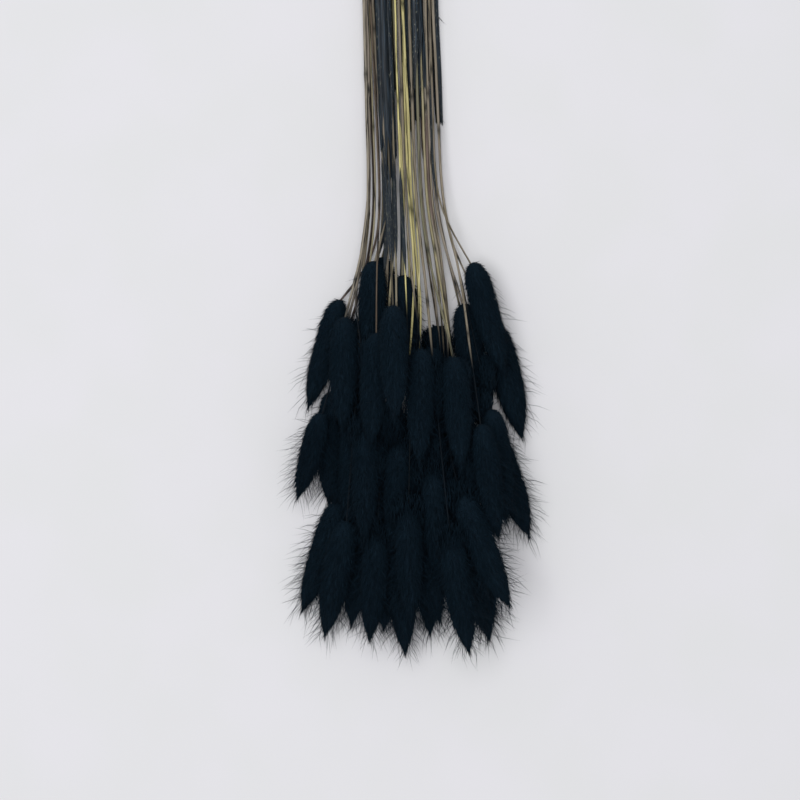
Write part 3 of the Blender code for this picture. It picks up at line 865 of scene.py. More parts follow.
@dataclass
class FluffyHead:
    """One flower head: a soft core on its stem's line, under a coat of hair that leans to the tip."""

    node: str
    tier: str = field(init=False)
    line: Line = field(init=False)
    length: float = field(init=False)
    radius: float = field(init=False)
    point: Array = field(init=False)
    core: float = 0.86  # the core's radius, as a share of the head's with its dense hair
    widest: float = 0.39  # where it is widest, as a share of its length
    dome: float = 3.8  # how full the base is
    taper: float = 3.2  # how full the tip is
    past: float = 0.01  # the core's tip, past the solid's by this share of the length
    point_past: float = 3.5 * MM  # the point that the hair at the tip is drawn in to, past the core's tip
    core_sides: int = 20
    core_rings: int = 18
    tufts: int = 130
    tuft_lean: float = 20.0
    tuft_reach: float = 1.1  # how far past its hairs' mean length a tuft's tip is
    end_hair: float = 0.04  # added to the width, so that hair grows at the two ends as well
    stray: float = 0.08  # how far round hairs stray from an even spread, in radians
    span: tuple[float, float] = (0.001, 0.995)  # no hair grows outside these shares of the length
    inner: float = 0.93  # of the core: what is deeper inside it is hidden
    sections: int = 9
    line_points: int = 40
    facets: float = 1.04  # a section across the solid's facets is this much narrower than its reach
    buried_x: tuple[float, float] = (-32 * MM, 27 * MM)  # heads here start under the hair of others
    buried_y: float = -64 * MM  # and so do those of the upper tier that start lower than this
    shawl_shift: tuple[float, float, float] = (0, -4 * MM, 0)
    shawl_lower: float = 8 * MM  # on the upper tier it starts this much further on, clear of the stems
    shawl_reach: tuple[float, float, float] = (9.5 * MM, 9 * MM, 5.5 * MM)
    shawl_count: int = 480
    spun: float = 0.0  # how far round its hair is turned

    def __post_init__(self) -> None:
        """Measures the solid: its two ends, its middle line and its largest radius."""
        self.tier = self.node.split("_")[1]
        low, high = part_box(self.node)
        shape = merged_copy(self.node)
        reach = high.y - low.y
        ys, centres, halves = [], [], []
        for step in range(1, self.sections + 1):
            y = high.y - reach * step / (self.sections + 1)
            cut = bmesh.ops.bisect_plane(shape, geom=all_of(shape), plane_co=(0, y, 0), plane_no=(0, 1, 0))
            ring = np.array([v.co[:] for v in cut["geom_cut"] if isinstance(v, bmesh.types.BMVert)])
            left, right = ring[:, 0].min(), ring[:, 0].max()
            half = (right - left) / 2
            ys.append(y)
            halves.append(half)
            centres.append(((left + right) / 2, ring[:, 2].max() - half))
        shape.free()
        fits = [np.polynomial.Polynomial.fit(ys, column, 2) for column in np.array(centres).T]
        along = np.linspace(high.y, low.y - self.past * reach, self.line_points)
        self.line = Line(np.stack([fits[0](along), along, fits[1](along)], axis=-1), (0, 0, 1))
        self.length = self.line.length
        tilt = reach * (1 + self.past) / self.length
        self.radius = max(halves) * tilt * self.facets
        self.point = self.line.at(np.array(self.length + self.point_past))[0]

    def width(self, share: Array) -> Array:
        """Gives the head's radius along it.

        Args:
            share: how far along the head, from its base.

        Returns:
            The radius, as a share of its largest.
        """
        base = 1 - np.clip((self.widest - share) / self.widest, 0, 1) ** self.dome
        tip = 1 - np.clip((share - self.widest) / (1 - self.widest), 0, 1) ** self.taper
        return np.sqrt(np.maximum(base, 0)) * np.maximum(tip, 0)

    def surface(self, share: Array, turn: Array) -> tuple[Array, Array, Array]:
        """Finds places on the core.

        Args:
            share: how far along the head, from its base.
            turn: the angle round its line.

        Returns:
            The places, the direction towards the tip along the surface, and the one out of it.
        """
        centre, way, side, rise = self.line.at(share * self.length)
        spoke = side * np.cos(turn)[:, None] + rise * np.sin(turn)[:, None]
        step = 0.01
        ahead, behind = np.minimum(share + step, 1), np.maximum(share - step, 0)
        slope = (self.width(ahead) - self.width(behind)) / (ahead - behind)
        reach = self.radius * self.core
        climb = (slope * reach)[:, None]
        place = centre + spoke * (self.width(share) * reach)[:, None]
        return place, unit(way * self.length + spoke * climb), unit(spoke * self.length - way * climb)

    def spread(
        self, count: int, start: float, tipward: float, rng: np.random.Generator
    ) -> tuple[Array, Array]:
        """Spreads places over the surface.

        Args:
            count: how many.
            start: the share of the length before which there are none.
            tipward: how much closer together they are at the tip than in the middle.
            rng: the source of random numbers.

        Returns:
            Their shares of the length and their angles.
        """
        shares = np.linspace(start, 1, 400)
        area = np.cumsum((self.width(shares) + self.end_hair) * (1 + tipward * (2 * shares - 1)))
        ranks = (np.arange(count) + rng.uniform(0, 1, count)) / count
        share = np.interp(ranks * area[-1], area, shares)
        turn = np.arange(count) * GOLDEN_ANGLE + rng.normal(0, self.stray, count) + self.spun
        return np.clip(share, *self.span), turn

    def holds(self, points: Array) -> Array:
        """Finds what is hidden in the core.

        Args:
            points: the places, a row each.

        Returns:
            For each, whether it lies well inside.
        """
        ys = self.line.points[:, 1]
        share = (ys[0] - points[:, 1]) / (ys[0] - ys[-1])
        x = np.interp(-points[:, 1], -ys, self.line.points[:, 0])
        z = np.interp(-points[:, 1], -ys, self.line.points[:, 2])
        reach = self.radius * self.core * self.inner * self.width(np.clip(share, 0, 1))
        return np.hypot(points[:, 0] - x, points[:, 2] - z) < reach

    def tuft_of(self, share: Array, turn: Array, length: float) -> tuple[Array, Array, Array]:
        """Finds the tuft that each hair belongs to.

        Args:
            share: the hairs' shares along the head.
            turn: their angles.
            length: how long the tufts are.

        Returns:
            The tuft's number for each hair, then the tip and the tone of every tuft.
        """
        rng = np.random.default_rng(SEED)
        middles, angles = self.spread(self.tufts, 0.0, 0.0, rng)
        root, flow, out = self.surface(middles, angles)
        lean = math.radians(self.tuft_lean)
        tips = root + (flow * math.cos(lean) + out * math.sin(lean)) * length * self.tuft_reach
        here = self.surface(share, turn)[0]
        nearest = np.linalg.norm(here[:, None] - root[None], axis=2).argmin(axis=1)
        return nearest, tips, rng.uniform(0, 1, self.tufts)

    def loose_hair(self) -> list[Wisp]:
        """Finds the tangles that lie on and beside the head.

        Returns:
            The tangles, the one over its base last.
        """
        wisps = list(WISPS.get(self.node, ()))
        base = self.line.points[0]
        buried = self.tier != "upper" or base[1] < self.buried_y
        if buried and self.buried_x[0] < base[0] < self.buried_x[1]:
            middle = base + self.shawl_shift
            if self.tier == "upper":
                middle[1] -= self.shawl_lower
            wisps.append(Wisp(tuple(middle), self.shawl_reach, self.shawl_count))
        return wisps

    def build(
        self,
        coats: list[Coat],
        others: list["FluffyHead"],
        material: bpy.types.Material,
        rng: np.random.Generator,
    ) -> None:
        """Builds the core and its coats as one piece.

        Args:
            coats: the kinds of hair.
            others: the heads that may be beside it.
            material: the finish of both.
            rng: the source of random numbers.
        """
        self.spun = rng.uniform(0, math.tau)
        shape = bmesh.new()
        bmesh.ops.create_uvsphere(shape, u_segments=self.core_sides, v_segments=self.core_rings, radius=1)
        ball = coordinates(shape)
        share = np.clip((1 + ball[:, 2]) / 2, 0, 1)
        places = self.surface(share, np.arctan2(ball[:, 1], ball[:, 0]))[0]
        whole = Gathering()
        mesh = to_mesh(shape, "core", above_floor(places))
        # The core takes the deepest shade and no tip paling: painted shade that keeps it as dark as the
        # self-shadowed fur over it.
        whole.add(mesh, tone=0.0, along=0.0)
        for coat in coats:
            hairs, tone, along = coat.grow(self, others, rng)
            whole.add(hairs, tone=tone, along=along)
        for wisp in self.loose_hair():
            hairs, tone, along = wisp.scatter(coats[0], rng)
            whole.add(hairs, tone=tone, along=along)
        bmesh.ops.recalc_face_normals(whole.shape, faces=whole.shape.faces)
        whole.finish(self.node.replace("head", "fluff"), material, "head", self.node)


@dataclass
class Strand:
    """One stem as the solids have it, from its head up to its cut end."""

    rings: Array  # their centres, from the lowest y up
    sheath_end: float | None  # the y where its leaf sheath starts, or None where it has none

    def x_at(self, y: float) -> float:
        """Gives the x of the strand where it crosses this y."""
        return float(np.interp(y, self.rings[:, 1], self.rings[:, 0]))


@dataclass
class StemSurvey:
    """Reads the three strands of a stems node."""

    node: str
    tie_low: float = 113 * MM
    tie_high: float = 138 * MM
    ring_gap: float = 0.6 * MM
    sheathed: float = 1.0 * MM  # a ring wider than this radius is a sheath's

    def strands(self) -> list[Strand]:
        """Matches the runs below the tie with those above it, and joins each pair.

        Returns:
            The three strands.
        """
        shape = merged_copy(self.node)
        hidden = [vert for vert in shape.verts if self.tie_low < vert.co.y < self.tie_high]
        bmesh.ops.delete(shape, geom=hidden, context="VERTS")
        runs = [self.rings(part) for part in self.islands(shape)]
        shape.free()
        lower = [run for run in runs if run[0][0, 1] < TIE_Y]
        upper = [run for run in runs if run[0][0, 1] > TIE_Y]
        pairs = min(itertools.permutations(upper), key=lambda order: self.mismatch(lower, order))
        return [self.join(low, high) for low, high in zip(lower, pairs)]

    @staticmethod
    def islands(shape: Shape) -> list[Array]:
        """Parts a shape where it isn't connected.

        Args:
            shape: the shape.

        Returns:
            The places of the vertices in each part.
        """
        shape.verts.index_update()
        unseen = set(shape.verts)
        parts = []
        for start in list(shape.verts):
            if start not in unseen:
                continue
            unseen.discard(start)
            front, part = [start], []
            while front:
                vert = front.pop()
                part.append(vert.co[:])
                fresh = [edge.other_vert(vert) for edge in vert.link_edges]
                fresh = [other for other in fresh if other in unseen]
                unseen.difference_update(fresh)
                front.extend(fresh)
            parts.append(np.array(part))
        return parts

    def rings(self, part: Array) -> tuple[Array, Array]:
        """Parts a run's vertices into rings.

        Args:
            part: the vertices.

        Returns:
            The rings' centres from the lowest y up, and their radii.
        """
        part = part[part[:, 1].argsort()]
        breaks = np.flatnonzero(np.diff(part[:, 1]) > self.ring_gap) + 1
        groups = np.split(part, breaks)
        centres = np.array([group.mean(axis=0) for group in groups])
        radii = np.array([np.linalg.norm(g - c, axis=1).max() for g, c in zip(groups, centres)])
        return centres, radii

    @staticmethod
    def mismatch(lower: list[tuple[Array, Array]], upper: tuple[tuple[Array, Array], ...]) -> float:
        """Measures how badly runs meet across the tie.

        Args:
            lower: the runs below the tie.
            upper: those above it, in the order in which they would be joined to them.

        Returns:
            The distance between their ends in all, after each side's own middle is taken off.
        """
        ends = np.array([run[0][-1] for run in lower])[:, ::2]
        starts = np.array([run[0][0] for run in upper])[:, ::2]
        return float(np.abs((ends - ends.mean(axis=0)) - (starts - starts.mean(axis=0))).sum())

    def join(self, low: tuple[Array, Array], high: tuple[Array, Array]) -> Strand:
        """Makes one strand of two runs.

        Args:
            low: the rings' centres and radii below the tie.
            high: and those above it.

        Returns:
            The strand.
        """
        rings = np.concatenate([low[0], high[0]])
        wide = np.concatenate([low[1], high[1]]) > self.sheathed
        return Strand(rings, float(rings[wide, 1].min()) if wide.any() else None)


class StemKind(Enum):
    """What the stems of a group look like."""

    BLACK = "stem_black"
    BROWN = "stem_brown"
    STRAW = "stem_straw"


class Cover(Enum):
    """What is left of a stem's leaf sheath."""

    WHOLE = "a dyed sheath, rolled round the culm"
    DYED_STRIP = "a dyed strip on top of it"
    PALE_STRIP = "a strip that the dye didn't reach"


@dataclass(frozen=True)
class CoveredLength:
    """A length of a culm under its leaf sheath, measured from the cut end."""

    cover: Cover
    start: float
    end: float
    flaked: float  # how far it is rubbed pale, or which shade a pale strip has


@dataclass
class StemGroup:
    """Three stems that are one node: culms, and on a dyed group the leaf sheaths round them."""

    node: str
    kind: StemKind = field(init=False)
    strands: list[Strand] = field(init=False)
    crease: float = math.radians(50)
    culm_radius: tuple[float, float] = (0.42 * MM, 0.66 * MM)  # at the head and at the cut end
    culm_varies: tuple[float, float] = (0.8, 1.5)
    culm_sides: int = 8
    ring_every: float = 4.5 * MM
    into_head: float = 3.5 * MM
    joints: int = 3
    joint_every: float = 105 * MM
    joint_first: tuple[float, float] = (0.2, 0.9)  # of that distance, from the cut end
    joint_dyed: float = 0.75
    joint_half: float = 1.6 * MM
    joint_swell: float = 0.28
    bore: float = 0.28 * MM
    bore_depth: float = 1.2 * MM
    dyed_from: tuple[float, float] = (-72 * MM, -45 * MM)  # the dye thickens from somewhere here
    dyed_over: float = 18 * MM
    dyed_least: tuple[float, ...] = (0.985, 0.995, 1.0, 1.0)  # pale shows through the dye on some
    dyed_thins: float = 0.32  # a culm is this much thinner near its head
    toned_at: float = -30 * MM  # in the bundle's neck
    yellow_x: tuple[float, float] = (-5.5 * MM, 6.5 * MM)  # the culms that cross the neck here are yellow
    yellow_tones: tuple[float, ...] = (0.0, 0.62, 0.06, 1.0, 0.96)
    grey_tones: tuple[float, float] = (0.45, 0.9)
    outer_x: float = -24 * MM  # those further out than this are the palest of the brown ones
    outer_tones: tuple[float, float] = (0.72, 0.9)
    sheath_radius: float = 1.42 * MM
    sheath_wall: float = 0.12 * MM
    sheath_start: float = 0.2 * MM  # from the cut end
    sheath_wrap: float = 1.14  # turns
    sheath_open: float = 0.58  # turns at its torn end
    open_varies: tuple[float, float] = (0.8, 1.2)
    rolled: float = 0.1  # its inner edge lies this share of the radius further in
    wavy: float = 0.03
    wave_sizes: tuple[float, ...] = (7 * MM, 17 * MM)
    opened: float = 0.06  # it is this share wider where it is open
    drift_turn: float = 0.25
    drift_size: float = 40 * MM
    phase: tuple[float, float] = (0, 6)  # where on its curve a wave starts, in radians
    slit: float = 30 * MM
    slit_varies: tuple[float, float] = (0.6, 1.5)
    slit_turn: float = 0.9  # how far a slit may be from the top, in radians
    tatter: float = 1.8 * MM
    tatter_length: float = 8 * MM
    tatter_steps: int = 6
    tatter_teeth: float = 40
    sheath_across: int = 14
    sheath_ring: float = 4 * MM
    sheath_rings: int = 4  # at least
    flattened: tuple[float, float] = (1.0, 1.8)  # how much wider a sheath lies than it is round
    remnants: tuple[Cover | None, ...] = (None, None, Cover.DYED_STRIP, Cover.PALE_STRIP, Cover.PALE_STRIP)
    pale_tones: tuple[float, ...] = (0.0, 0.35, 1.0)
    remnant_x: tuple[float, float] = (-22 * MM, 7 * MM)
    remnant_y: tuple[float, float] = (-5 * MM, 95 * MM)
    remnant_length: tuple[float, float] = (34 * MM, 80 * MM)
    remnant_least: float = 20 * MM
    remnant_wrap: float = 0.46
    remnant_radius: float = 0.95 * MM
    remnant_ragged: tuple[float, float] = (0.6, 1.1)
    remnant_steps: int = 12
    remnant_clear: float = 14 * MM  # no cover comes nearer to the head than this
    patch_x: tuple[float, float] = (-15 * MM, -5.5 * MM)  # a patch of them shows near the heads
    patch_y: tuple[float, float] = (-46 * MM, 16 * MM)
    patch_ragged: float = 14 * MM  # how much higher or lower its strips start and end
    shreds: int = 3  # for each sheath
    shred_length: tuple[float, float] = (3 * MM, 6.5 * MM)
    shred_width: tuple[float, float] = (0.4 * MM, 1 * MM)
    shred_lean: tuple[float, float] = (0.7, 1.4)
    edge_x: float = 11 * MM  # two more stand off the bundle's right edge
    edge_y: tuple[float, ...] = (53 * MM, 82 * MM)

    def __post_init__(self) -> None:
        """Reads the strands."""
        self.strands = StemSurvey(self.node).strands()
        self.kind = StemKind("stem_" + self.node.split("_")[1])

    def line(self, strand: Strand) -> Line:
        """Draws a strand's middle line.

        Args:
            strand: the strand.

        Returns:
            The line, from its cut end down into its head.
        """
        points = smooth_through(strand.rings, 1 * MM)[::-1]
        end = points[-1] + unit(points[-1] - points[-4]) * self.into_head
        return Line(np.concatenate([points, end[None]]), (0, 0, 1))

    def culm(self, line: Line, rng: np.random.Generator) -> tuple[bpy.types.Mesh, Array, Array]:
        """Builds one culm with its swollen joints and its hollow cut end.

        Args:
            line: its middle line from the cut end.
            rng: the source of random numbers.

        Returns:
            Its mesh, and each vertex's straightened place and share of dye.
        """
        shape = rod(self.culm_sides, int(line.length / self.ring_every))
        straight = coordinates(shape)
        distance = straight[:, 2] * line.length
        joints = (rng.uniform(*self.joint_first) + np.arange(self.joints)) * self.joint_every
        rings = np.abs(distance[:, None] - joints).argmin(axis=0)
        near = np.exp(-(((distance[:, None] - distance[rings]) / self.joint_half) ** 2)).max(axis=1)
        radius = np.interp(straight[:, 2], [0, 1], self.culm_radius[::-1]) * rng.uniform(*self.culm_varies)
        place, _, side, rise = line.at(distance)
        dyed = np.clip((rng.uniform(*self.dyed_from) - place[:, 1]) / self.dyed_over, 0, 1)
        dyed = dyed**2 * (3 - 2 * dyed)
        radius = radius * (1 + self.joint_swell * near) * (1 - self.dyed_thins * dyed)
        offset = straight[:, :2] * radius[:, None]
        places = place + side * offset[:, :1] + rise * offset[:, 1:]
        dyed = np.maximum(dyed * rng.choice(self.dyed_least), self.joint_dyed * near)
        mesh = to_mesh(shape, "culm", above_floor(places))
        shape = to_shape(mesh)
        bpy.data.meshes.remove(mesh)
        ends = [face for face in shape.faces if len(face.verts) == self.culm_sides]
        cut = max(ends, key=lambda face: face.calc_center_median().y)
        bmesh.ops.inset_individual(shape, faces=[cut], thickness=self.bore, depth=-self.bore_depth)
        mesh = to_mesh(shape, "culm")
        grain = np.column_stack([offset, distance])
        extra = len(mesh.vertices) - len(grain)
        grain = np.concatenate([grain, np.repeat(grain[:1], extra, axis=0)])
        return mesh, grain, np.concatenate([dyed, np.zeros(extra)])

    def sheath(
        self, line: Line, length: CoveredLength, rng: np.random.Generator
    ) -> tuple[bpy.types.Mesh, Array]:
        """Rolls one leaf sheath round its culm, slit open and torn towards its lower end.

        Args:
            line: the culm's middle line from the cut end.
            length: the length of it that the sheath covers.
            rng: the source of random numbers.

        Returns:
            Its mesh, and each vertex's flattened place.
        """
        start, end, strip = length.start, length.end, length.cover is not Cover.WHOLE
        shape = slab(self.sheath_across, max(int((end - start) / self.sheath_ring), self.sheath_rings))
        across, skin, along = coordinates(shape).T
        across = 1 - across
        distance = start + along * (end - start)
        left = end - distance
        steps = self.tatter_steps
        tears = np.interp(across, np.linspace(0, 1, steps), rng.uniform(-1, 1, steps))
        tears += 0.5 * np.sign(np.sin(across * self.tatter_teeth))
        distance = distance + self.tatter * tears * np.clip(1 - left / self.tatter_length, 0, 1)
        opening = np.clip(1 - left / (self.slit * rng.uniform(*self.slit_varies)), 0, 1) ** 0.7
        open_turns = self.sheath_open * rng.uniform(*self.open_varies)
        turns = self.sheath_wrap + (open_turns - self.sheath_wrap) * opening
        full_radius = self.sheath_radius
        if strip:
            steps = self.remnant_steps
            ragged = np.interp(along, np.linspace(0, 1, steps), rng.uniform(*self.remnant_ragged, steps))
            turns = self.remnant_wrap * ragged * np.clip(4 * np.minimum(along, 1 - along) + 0.05, 0, 1)
            full_radius = self.remnant_radius
        waves = sum(np.sin(distance / size + rng.uniform(*self.phase)) for size in self.wave_sizes)
        drift = self.drift_turn * np.sin(distance / self.drift_size + rng.uniform(*self.phase))
        middle = rng.uniform(-self.slit_turn, self.slit_turn) + (math.pi if strip else -math.pi) / 2
        angle = middle + drift + math.tau * turns * (across - 0.5)
        radius = 1 - self.rolled + self.rolled * across + self.wavy * waves + self.opened * opening
        radius = full_radius * radius + skin * self.sheath_wall
        wide = rng.uniform(*self.flattened) if not strip else 1.0
        place, _, side, rise = line.at(distance)
        places = place + side * (wide * np.cos(angle) * radius)[:, None]
        places += rise * (np.sin(angle) * radius / math.sqrt(wide))[:, None]
        grain = np.column_stack([across * math.tau * self.sheath_radius, np.zeros(len(across)), distance])
        return to_mesh(shape, "sheath", above_floor(places)), grain

    def shred(self, line: Line, distance: float, rng: np.random.Generator) -> tuple[bpy.types.Mesh, Array]:
        """Builds one torn shred that stands off a sheath, away from the middle of the bundle.

        Args:
            line: the culm's middle line from the cut end.
            distance: how far along it the shred is torn off.
            rng: the source of random numbers.

        Returns:
            Its mesh, and each vertex's flattened place.
        """
        shape = rod(4, 5)
        straight = coordinates(shape)
        along = straight[:, 2]
        place, way, side, rise = line.at(np.full(len(along), distance))
        outward = math.pi if place[0, 0] * side[0, 0] < 0 else 0.0
        turn = outward + rng.uniform(-0.5, 0.5)
        lean, curl = rng.uniform(*self.shred_lean), rng.uniform(-0.25, 0.25)
        spoke = side * math.cos(turn) + rise * math.sin(turn)
        length, width = rng.uniform(*self.shred_length), rng.uniform(*self.shred_width)
        stand = self.sheath_radius + length * (math.sin(lean) * along + curl * along**2)
        offset = straight[:, :2] * (1 - 0.85 * along)[:, None] * (width / 2, self.sheath_wall)
        places = place + spoke * (stand + offset[:, 1])[:, None]
        places += way * (length * math.cos(lean) * along)[:, None] + np.cross(spoke, way) * offset[:, :1]
        grain = np.column_stack([offset, distance + along * length])
        return to_mesh(shape, "shred", above_floor(places)), grain

    def covers(self, strand: Strand, rng: np.random.Generator) -> list[CoveredLength]:
        """Finds the lengths of a culm that its leaf sheath covers.

        Args:
            strand: the stem.
            rng: the source of random numbers.

        Returns:
            The lengths, from none to two.
        """
        cut_x, cut_y = strand.rings[-1, :2]
        low, high = self.patch_y
        furthest = cut_y - strand.rings[0, 1] - self.remnant_clear
        remnant = self.remnants[rng.integers(len(self.remnants))]
        found = []
        if strand.sheath_end is not None:
            end = cut_y - strand.sheath_end
            found.append(CoveredLength(Cover.WHOLE, self.sheath_start, end, rng.uniform()))
        elif remnant and self.remnant_x[0] < cut_x < self.remnant_x[1]:
            start = cut_y - rng.uniform(*self.remnant_y)
            end = min(start + rng.uniform(*self.remnant_length), furthest)
            if end - start > self.remnant_least:
                found.append(CoveredLength(remnant, start, end, rng.choice(self.pale_tones)))
        if self.patch_x[0] < strand.x_at((low + high) / 2) < self.patch_x[1]:
            start = cut_y - high - rng.uniform(-0.5, 1) * self.patch_ragged
            end = cut_y - low - rng.uniform(0, 1) * self.patch_ragged
            found.append(CoveredLength(Cover.DYED_STRIP, start, min(end, furthest), 1.0))
        return found

    def tone(self, strand: Strand, draw: float) -> float:
        """Picks a culm's shade by where it crosses the neck: the middle ones are yellow, the others greyer.

        Args:
            strand: the stem.
            draw: a random number from 0 to 1.

        Returns:
            The shade's place among those of its kind, from 0 to 1.
        """
        x = strand.x_at(self.toned_at)
        if self.kind is StemKind.BROWN:
            return float(np.interp(draw, [0, 1], self.outer_tones)) if x < self.outer_x else draw
        if self.yellow_x[0] < x < self.yellow_x[1]:
            return self.yellow_tones[int(draw * len(self.yellow_tones))]
        return float(np.interp(draw, [0, 1], self.grey_tones))

    def torn(self, strand: Strand, length: CoveredLength, rng: np.random.Generator) -> list[float]:
        """Finds where shreds are torn off a sheath, most of them near its lower end.

        Args:
            strand: the stem.
            length: the length of it that the sheath covers.
            rng: the source of random numbers.

        Returns:
            The places, measured from the cut end.
        """
        covered = length.end - length.start
        places = [length.end - covered * rng.uniform() ** 2 for _ in range(self.shreds)]
        cut_y = strand.rings[-1, 1]
        return places + [cut_y - y for y in self.edge_y if strand.x_at(y) > self.edge_x]

    def build(self, finishes: dict[StemKind, bpy.types.Material], rng: np.random.Generator) -> list[Line]:
        """Builds the group's pieces.

        Args:
            finishes: the material of each kind.
            rng: the source of random numbers.

        Returns:
            The strands' middle lines.
        """
        culms, sheaths, lines = Gathering(), Gathering(), []
        for strand in self.strands:
            line = self.line(strand)
            lines.append(line)
            mesh, grain, dyed = self.culm(line, rng)
            shift = rng.uniform(-1, 1, 3)
            culms.add(mesh, grain=grain + shift, dyed=dyed, tone=self.tone(strand, rng.uniform()))
            for length in self.covers(strand, rng):
                mesh, grain = self.sheath(line, length, rng)
                if length.cover is Cover.PALE_STRIP:
                    culms.add(mesh, grain=grain + shift, dyed=0.0, tone=length.flaked)
                    continue
                sheaths.add(mesh, grain=grain + shift, tone=length.flaked)
                torn = self.torn(strand, length, rng) if length.cover is Cover.WHOLE else []
                for distance in torn:
                    mesh, grain = self.shred(line, distance, rng)
                    sheaths.add(mesh, grain=grain + shift, tone=length.flaked)
        bare = StemKind.STRAW if self.kind is StemKind.BLACK else self.kind
        name = self.node.replace("stems", "culms")
        culms.finish(name, finishes[bare], bare.value, self.node, self.crease)
        if sheaths.values:
            name = self.node.replace("stems", "sheaths")
            finish = finishes[StemKind.BLACK]
            sheaths.finish(name, finish, StemKind.BLACK.value, self.node, self.crease)
        return lines


@dataclass
class TwineTie:
    """The twine round the bundle: three turns of two plies, a knot on top and two loose ends."""

    node: str = "twine"
    radius: float = 0.9 * MM
    gap: float = 0.3 * MM
    clear: float = 0.25 * MM
    turns: int = 3
    plies: int = 2
    ply_share: float = 0.54
    pitch: float = 5.5 * MM
    steps: int = 240
    ply_sides: int = 6
    ring_every: float = 0.9 * MM
    step: float = 0.4 * MM
    floor_gap: float = 0.1 * MM
    knot: tuple[tuple[float, float, float], ...] = (
        (-5, -0.6, -0.6),
        (-2.2, -1.4, 0.6),
        (1.2, -1.6, 1.6),
        (2.9, -0.2, 1.7),
        (2.0, 1.4, 0.9),
        (-0.6, 1.5, 1.3),
        (-2.4, 2.0, 1.5),
    )  # in mm: one end's way through it, which the other end's mirrors
    knot_step: float = 0.3  # in mm: one end lies this much above the middle, and the other below
    tail: float = 20 * MM
    tail_drop: float = 1.6 * MM
    tail_turn: float = math.radians(28)
    crease: float = math.radians(60)
    sheath_radius: float = 1.5 * MM
    ease: int = 21

    def coil(self, stems: Array) -> Array:
        """Winds the middle line round the stems.

        Args:
            stems: where the stems cross the tie, as rows of x and z.

        Returns:
            The line's points.
        """
        angles = np.arange(self.steps) * math.tau / self.steps
        ways = np.stack([np.cos(angles), np.sin(angles)], axis=-1)
        reach = (stems @ ways.T).max(axis=0) + self.sheath_radius + self.clear + self.radius
        half = self.ease // 2
        eased = np.convolve(np.pad(reach, half, mode="wrap"), np.ones(self.ease) / self.ease, mode="valid")
        slope = (np.roll(eased, -1) - np.roll(eased, 1)) / (2 * math.tau / self.steps)
        round_once = ways * eased[:, None] + np.stack([-ways[:, 1], ways[:, 0]], axis=-1) * slope[:, None]
        order = (np.arange(self.turns * self.steps + 1) + self.steps // 4) % self.steps
        span = self.turns * (2 * self.radius + self.gap)
        ys = TIE_Y + span / 2 - span * np.arange(len(order)) / (len(order) - 1)
        points = np.column_stack([round_once[order, 0], ys, round_once[order, 1]])
        points[:, 2] = np.maximum(points[:, 2], self.radius + self.floor_gap)
        return points

    def cord(self, points: Array, reference: tuple[float, float, float], whole: Gathering) -> None:
        """Lays two twisted plies along a line.

        Args:
            points: the line's points.
            reference: a direction that it never runs in.
            whole: the piece that they join.
        """
        middle = Line(points, reference)
        distance = np.linspace(0, middle.length, max(int(middle.length / self.step), 8))
        place, _, side, rise = middle.at(distance)
        for ply in range(self.plies):
            turn = distance / self.pitch * math.tau + ply * math.tau / self.plies
            spoke = side * np.cos(turn)[:, None] + rise * np.sin(turn)[:, None]
            line = Line(place + spoke * self.radius * (1 - self.ply_share), reference)
            shape = rod(self.ply_sides, max(int(line.length / self.ring_every), 2))
            straight = coordinates(shape)
            along = straight[:, 2] * line.length
            offset = straight[:, :2] * self.radius * self.ply_share
            centre, _, across, up = line.at(along)
            mesh = to_mesh(shape, "ply", centre + across * offset[:, :1] + up * offset[:, 1:])
            grain = np.column_stack([offset, along]) + ply
            whole.add(mesh, grain=grain)

    def build(self, lines: list[Line], material: bpy.types.Material) -> None:
        """Builds the tie.

        Args:
            lines: the stems' middle lines.
            material: its finish.
        """
        stems = []
        for line in lines:
            nearest = np.abs(line.points[:, 1] - TIE_Y).argmin()
            stems.append(line.points[nearest, ::2])
        coil = self.coil(np.array(stems))
        whole = Gathering()
        self.cord(coil, (0, 1, 0), whole)
        top = np.array([coil[:, 0][coil[:, 2].argmax()], TIE_Y, coil[:, 2].max()])
        drop = np.array([0, 0, self.tail_drop])
        for side in (-1, 1):
            rows = np.array([(x * side, y, z + self.knot_step * side) for x, y, z in self.knot]) * MM
            way = np.array([-math.sin(self.tail_turn) * side, math.cos(self.tail_turn), 0])
            ends = [rows[-1] + way * self.tail * share - drop * share for share in (0.4, 1)]
            path = np.concatenate([rows, ends]) + top
            self.cord(smooth_through(path, self.step), (0.1, 0.2, 1), whole)
        whole.finish("wound_twine", material, "twine", self.node, self.crease)


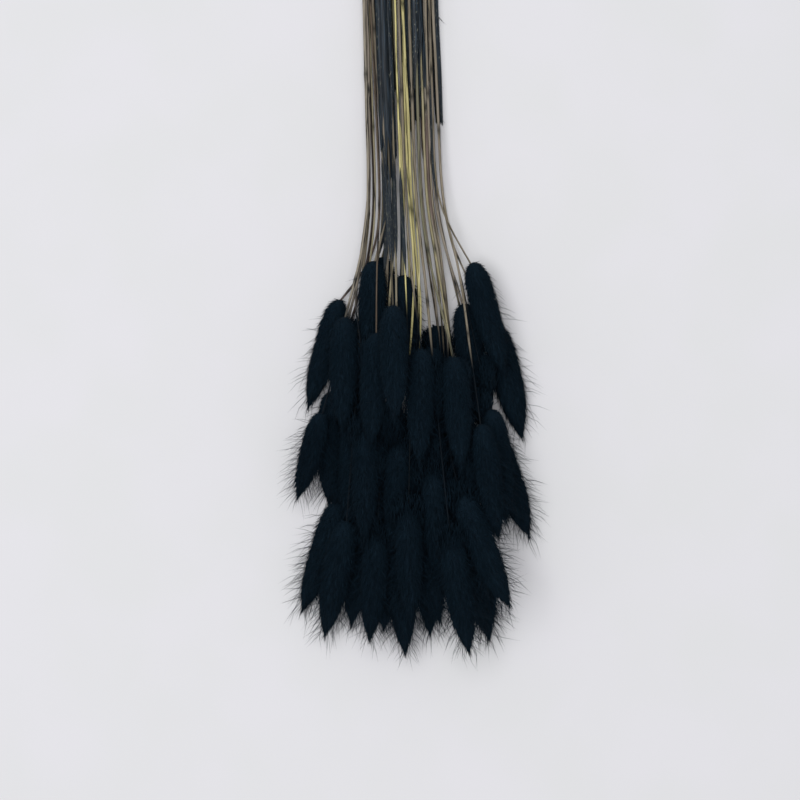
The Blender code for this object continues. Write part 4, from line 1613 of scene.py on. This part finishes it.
@dataclass
class Studio:
    """The pale floor, soft light from above and the left, and the camera straight above the bunch."""

    view_width: float = 400 * MM
    view_centre: tuple[float, float] = (-6.98 * MM, -104.9 * MM)
    view_level: float = 20 * MM
    camera_height: float = 2.4
    camera_reach: float = 100.0
    sensor: float = 36.0
    floor_size: float = 40.0
    floor_parts: int = 8
    sky: str = "f3f4f6"
    sky_strength: float = 0.43
    key_power: float = 54.5
    key_size: float = 2.2
    key_place: tuple[float, float, float] = (-0.4, 0.1, 2.7)

    def floor(self, finish: PaleBoard) -> None:
        """Lays the floor, which isn't part of the bunch.

        Args:
            finish: what it is painted with.
        """
        shape, parts = bmesh.new(), self.floor_parts
        bmesh.ops.create_grid(shape, x_segments=parts, y_segments=parts, size=self.floor_size / 2)
        mesh = to_mesh(shape, "floor")
        mesh.materials.append(finish.make())
        board = add_object("floor", mesh)

    def light(self) -> None:
        """Sets an even pale surround and one large soft lamp."""
        world = bpy.data.worlds.new("surround")
        world.use_nodes = True
        surround = world.node_tree.nodes["Background"]
        surround.inputs["Color"].default_value = linear(self.sky)
        surround.inputs["Strength"].default_value = self.sky_strength
        bpy.context.scene.world = world
        data = bpy.data.lights.new("key", "AREA")
        data.shape = "DISK"
        data.size = self.key_size
        data.energy = self.key_power
        lamp = add_object("key", data)
        lamp.location = self.key_place
        aim = Vector((*self.view_centre, 0)) - lamp.location
        lamp.rotation_euler = aim.to_track_quat("-Z", "Y").to_euler()

    def camera(self) -> None:
        """Hangs the camera above the middle of the view, looking straight down."""
        data = bpy.data.cameras.new("camera")
        data.sensor_width = self.sensor
        data.lens = self.sensor * (self.camera_height - self.view_level) / self.view_width
        data.clip_end = self.camera_reach
        eye = add_object("camera", data)
        eye.location = (*self.view_centre, self.camera_height)
        bpy.context.scene.camera = eye
        bpy.context.scene.view_settings.view_transform = "Standard"


def main() -> None:
    """Builds every piece in order."""
    logging.basicConfig(level=logging.INFO, format="%(message)s")
    rng = np.random.default_rng(SEED)
    studio = Studio()
    studio.floor(PaleBoard())
    studio.light()
    studio.camera()
    fluff = DyedFluff().make()
    coats = [Coat(kind) for kind in (FUZZ, LOCKS, AWNS)]
    nodes = sorted(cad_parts)
    heads = [FluffyHead(node) for node in nodes if node.startswith("head")]
    for head in heads:
        head.build(coats, [other for other in heads if other is not head], fluff, rng)
    finishes = {
        StemKind.BLACK: DyedSheath().make(),
        StemKind.BROWN: DryCulm("brown_culm", BROWN_SHADES, rib_shade="352d28").make(),
        StemKind.STRAW: DryCulm("straw_culm", STRAW_SHADES, rib_shade="5d5638", smear_level=0.585).make(),
    }
    lines = []
    for number, node in enumerate(nodes):
        if node.startswith("stems"):
            lines += StemGroup(node).build(finishes, np.random.default_rng([SEED, number]))
    TwineTie().build(lines, JuteTwine().make())
    for coat in coats:
        bpy.data.meshes.remove(coat.pattern)


if __name__ == "__main__":
    main()
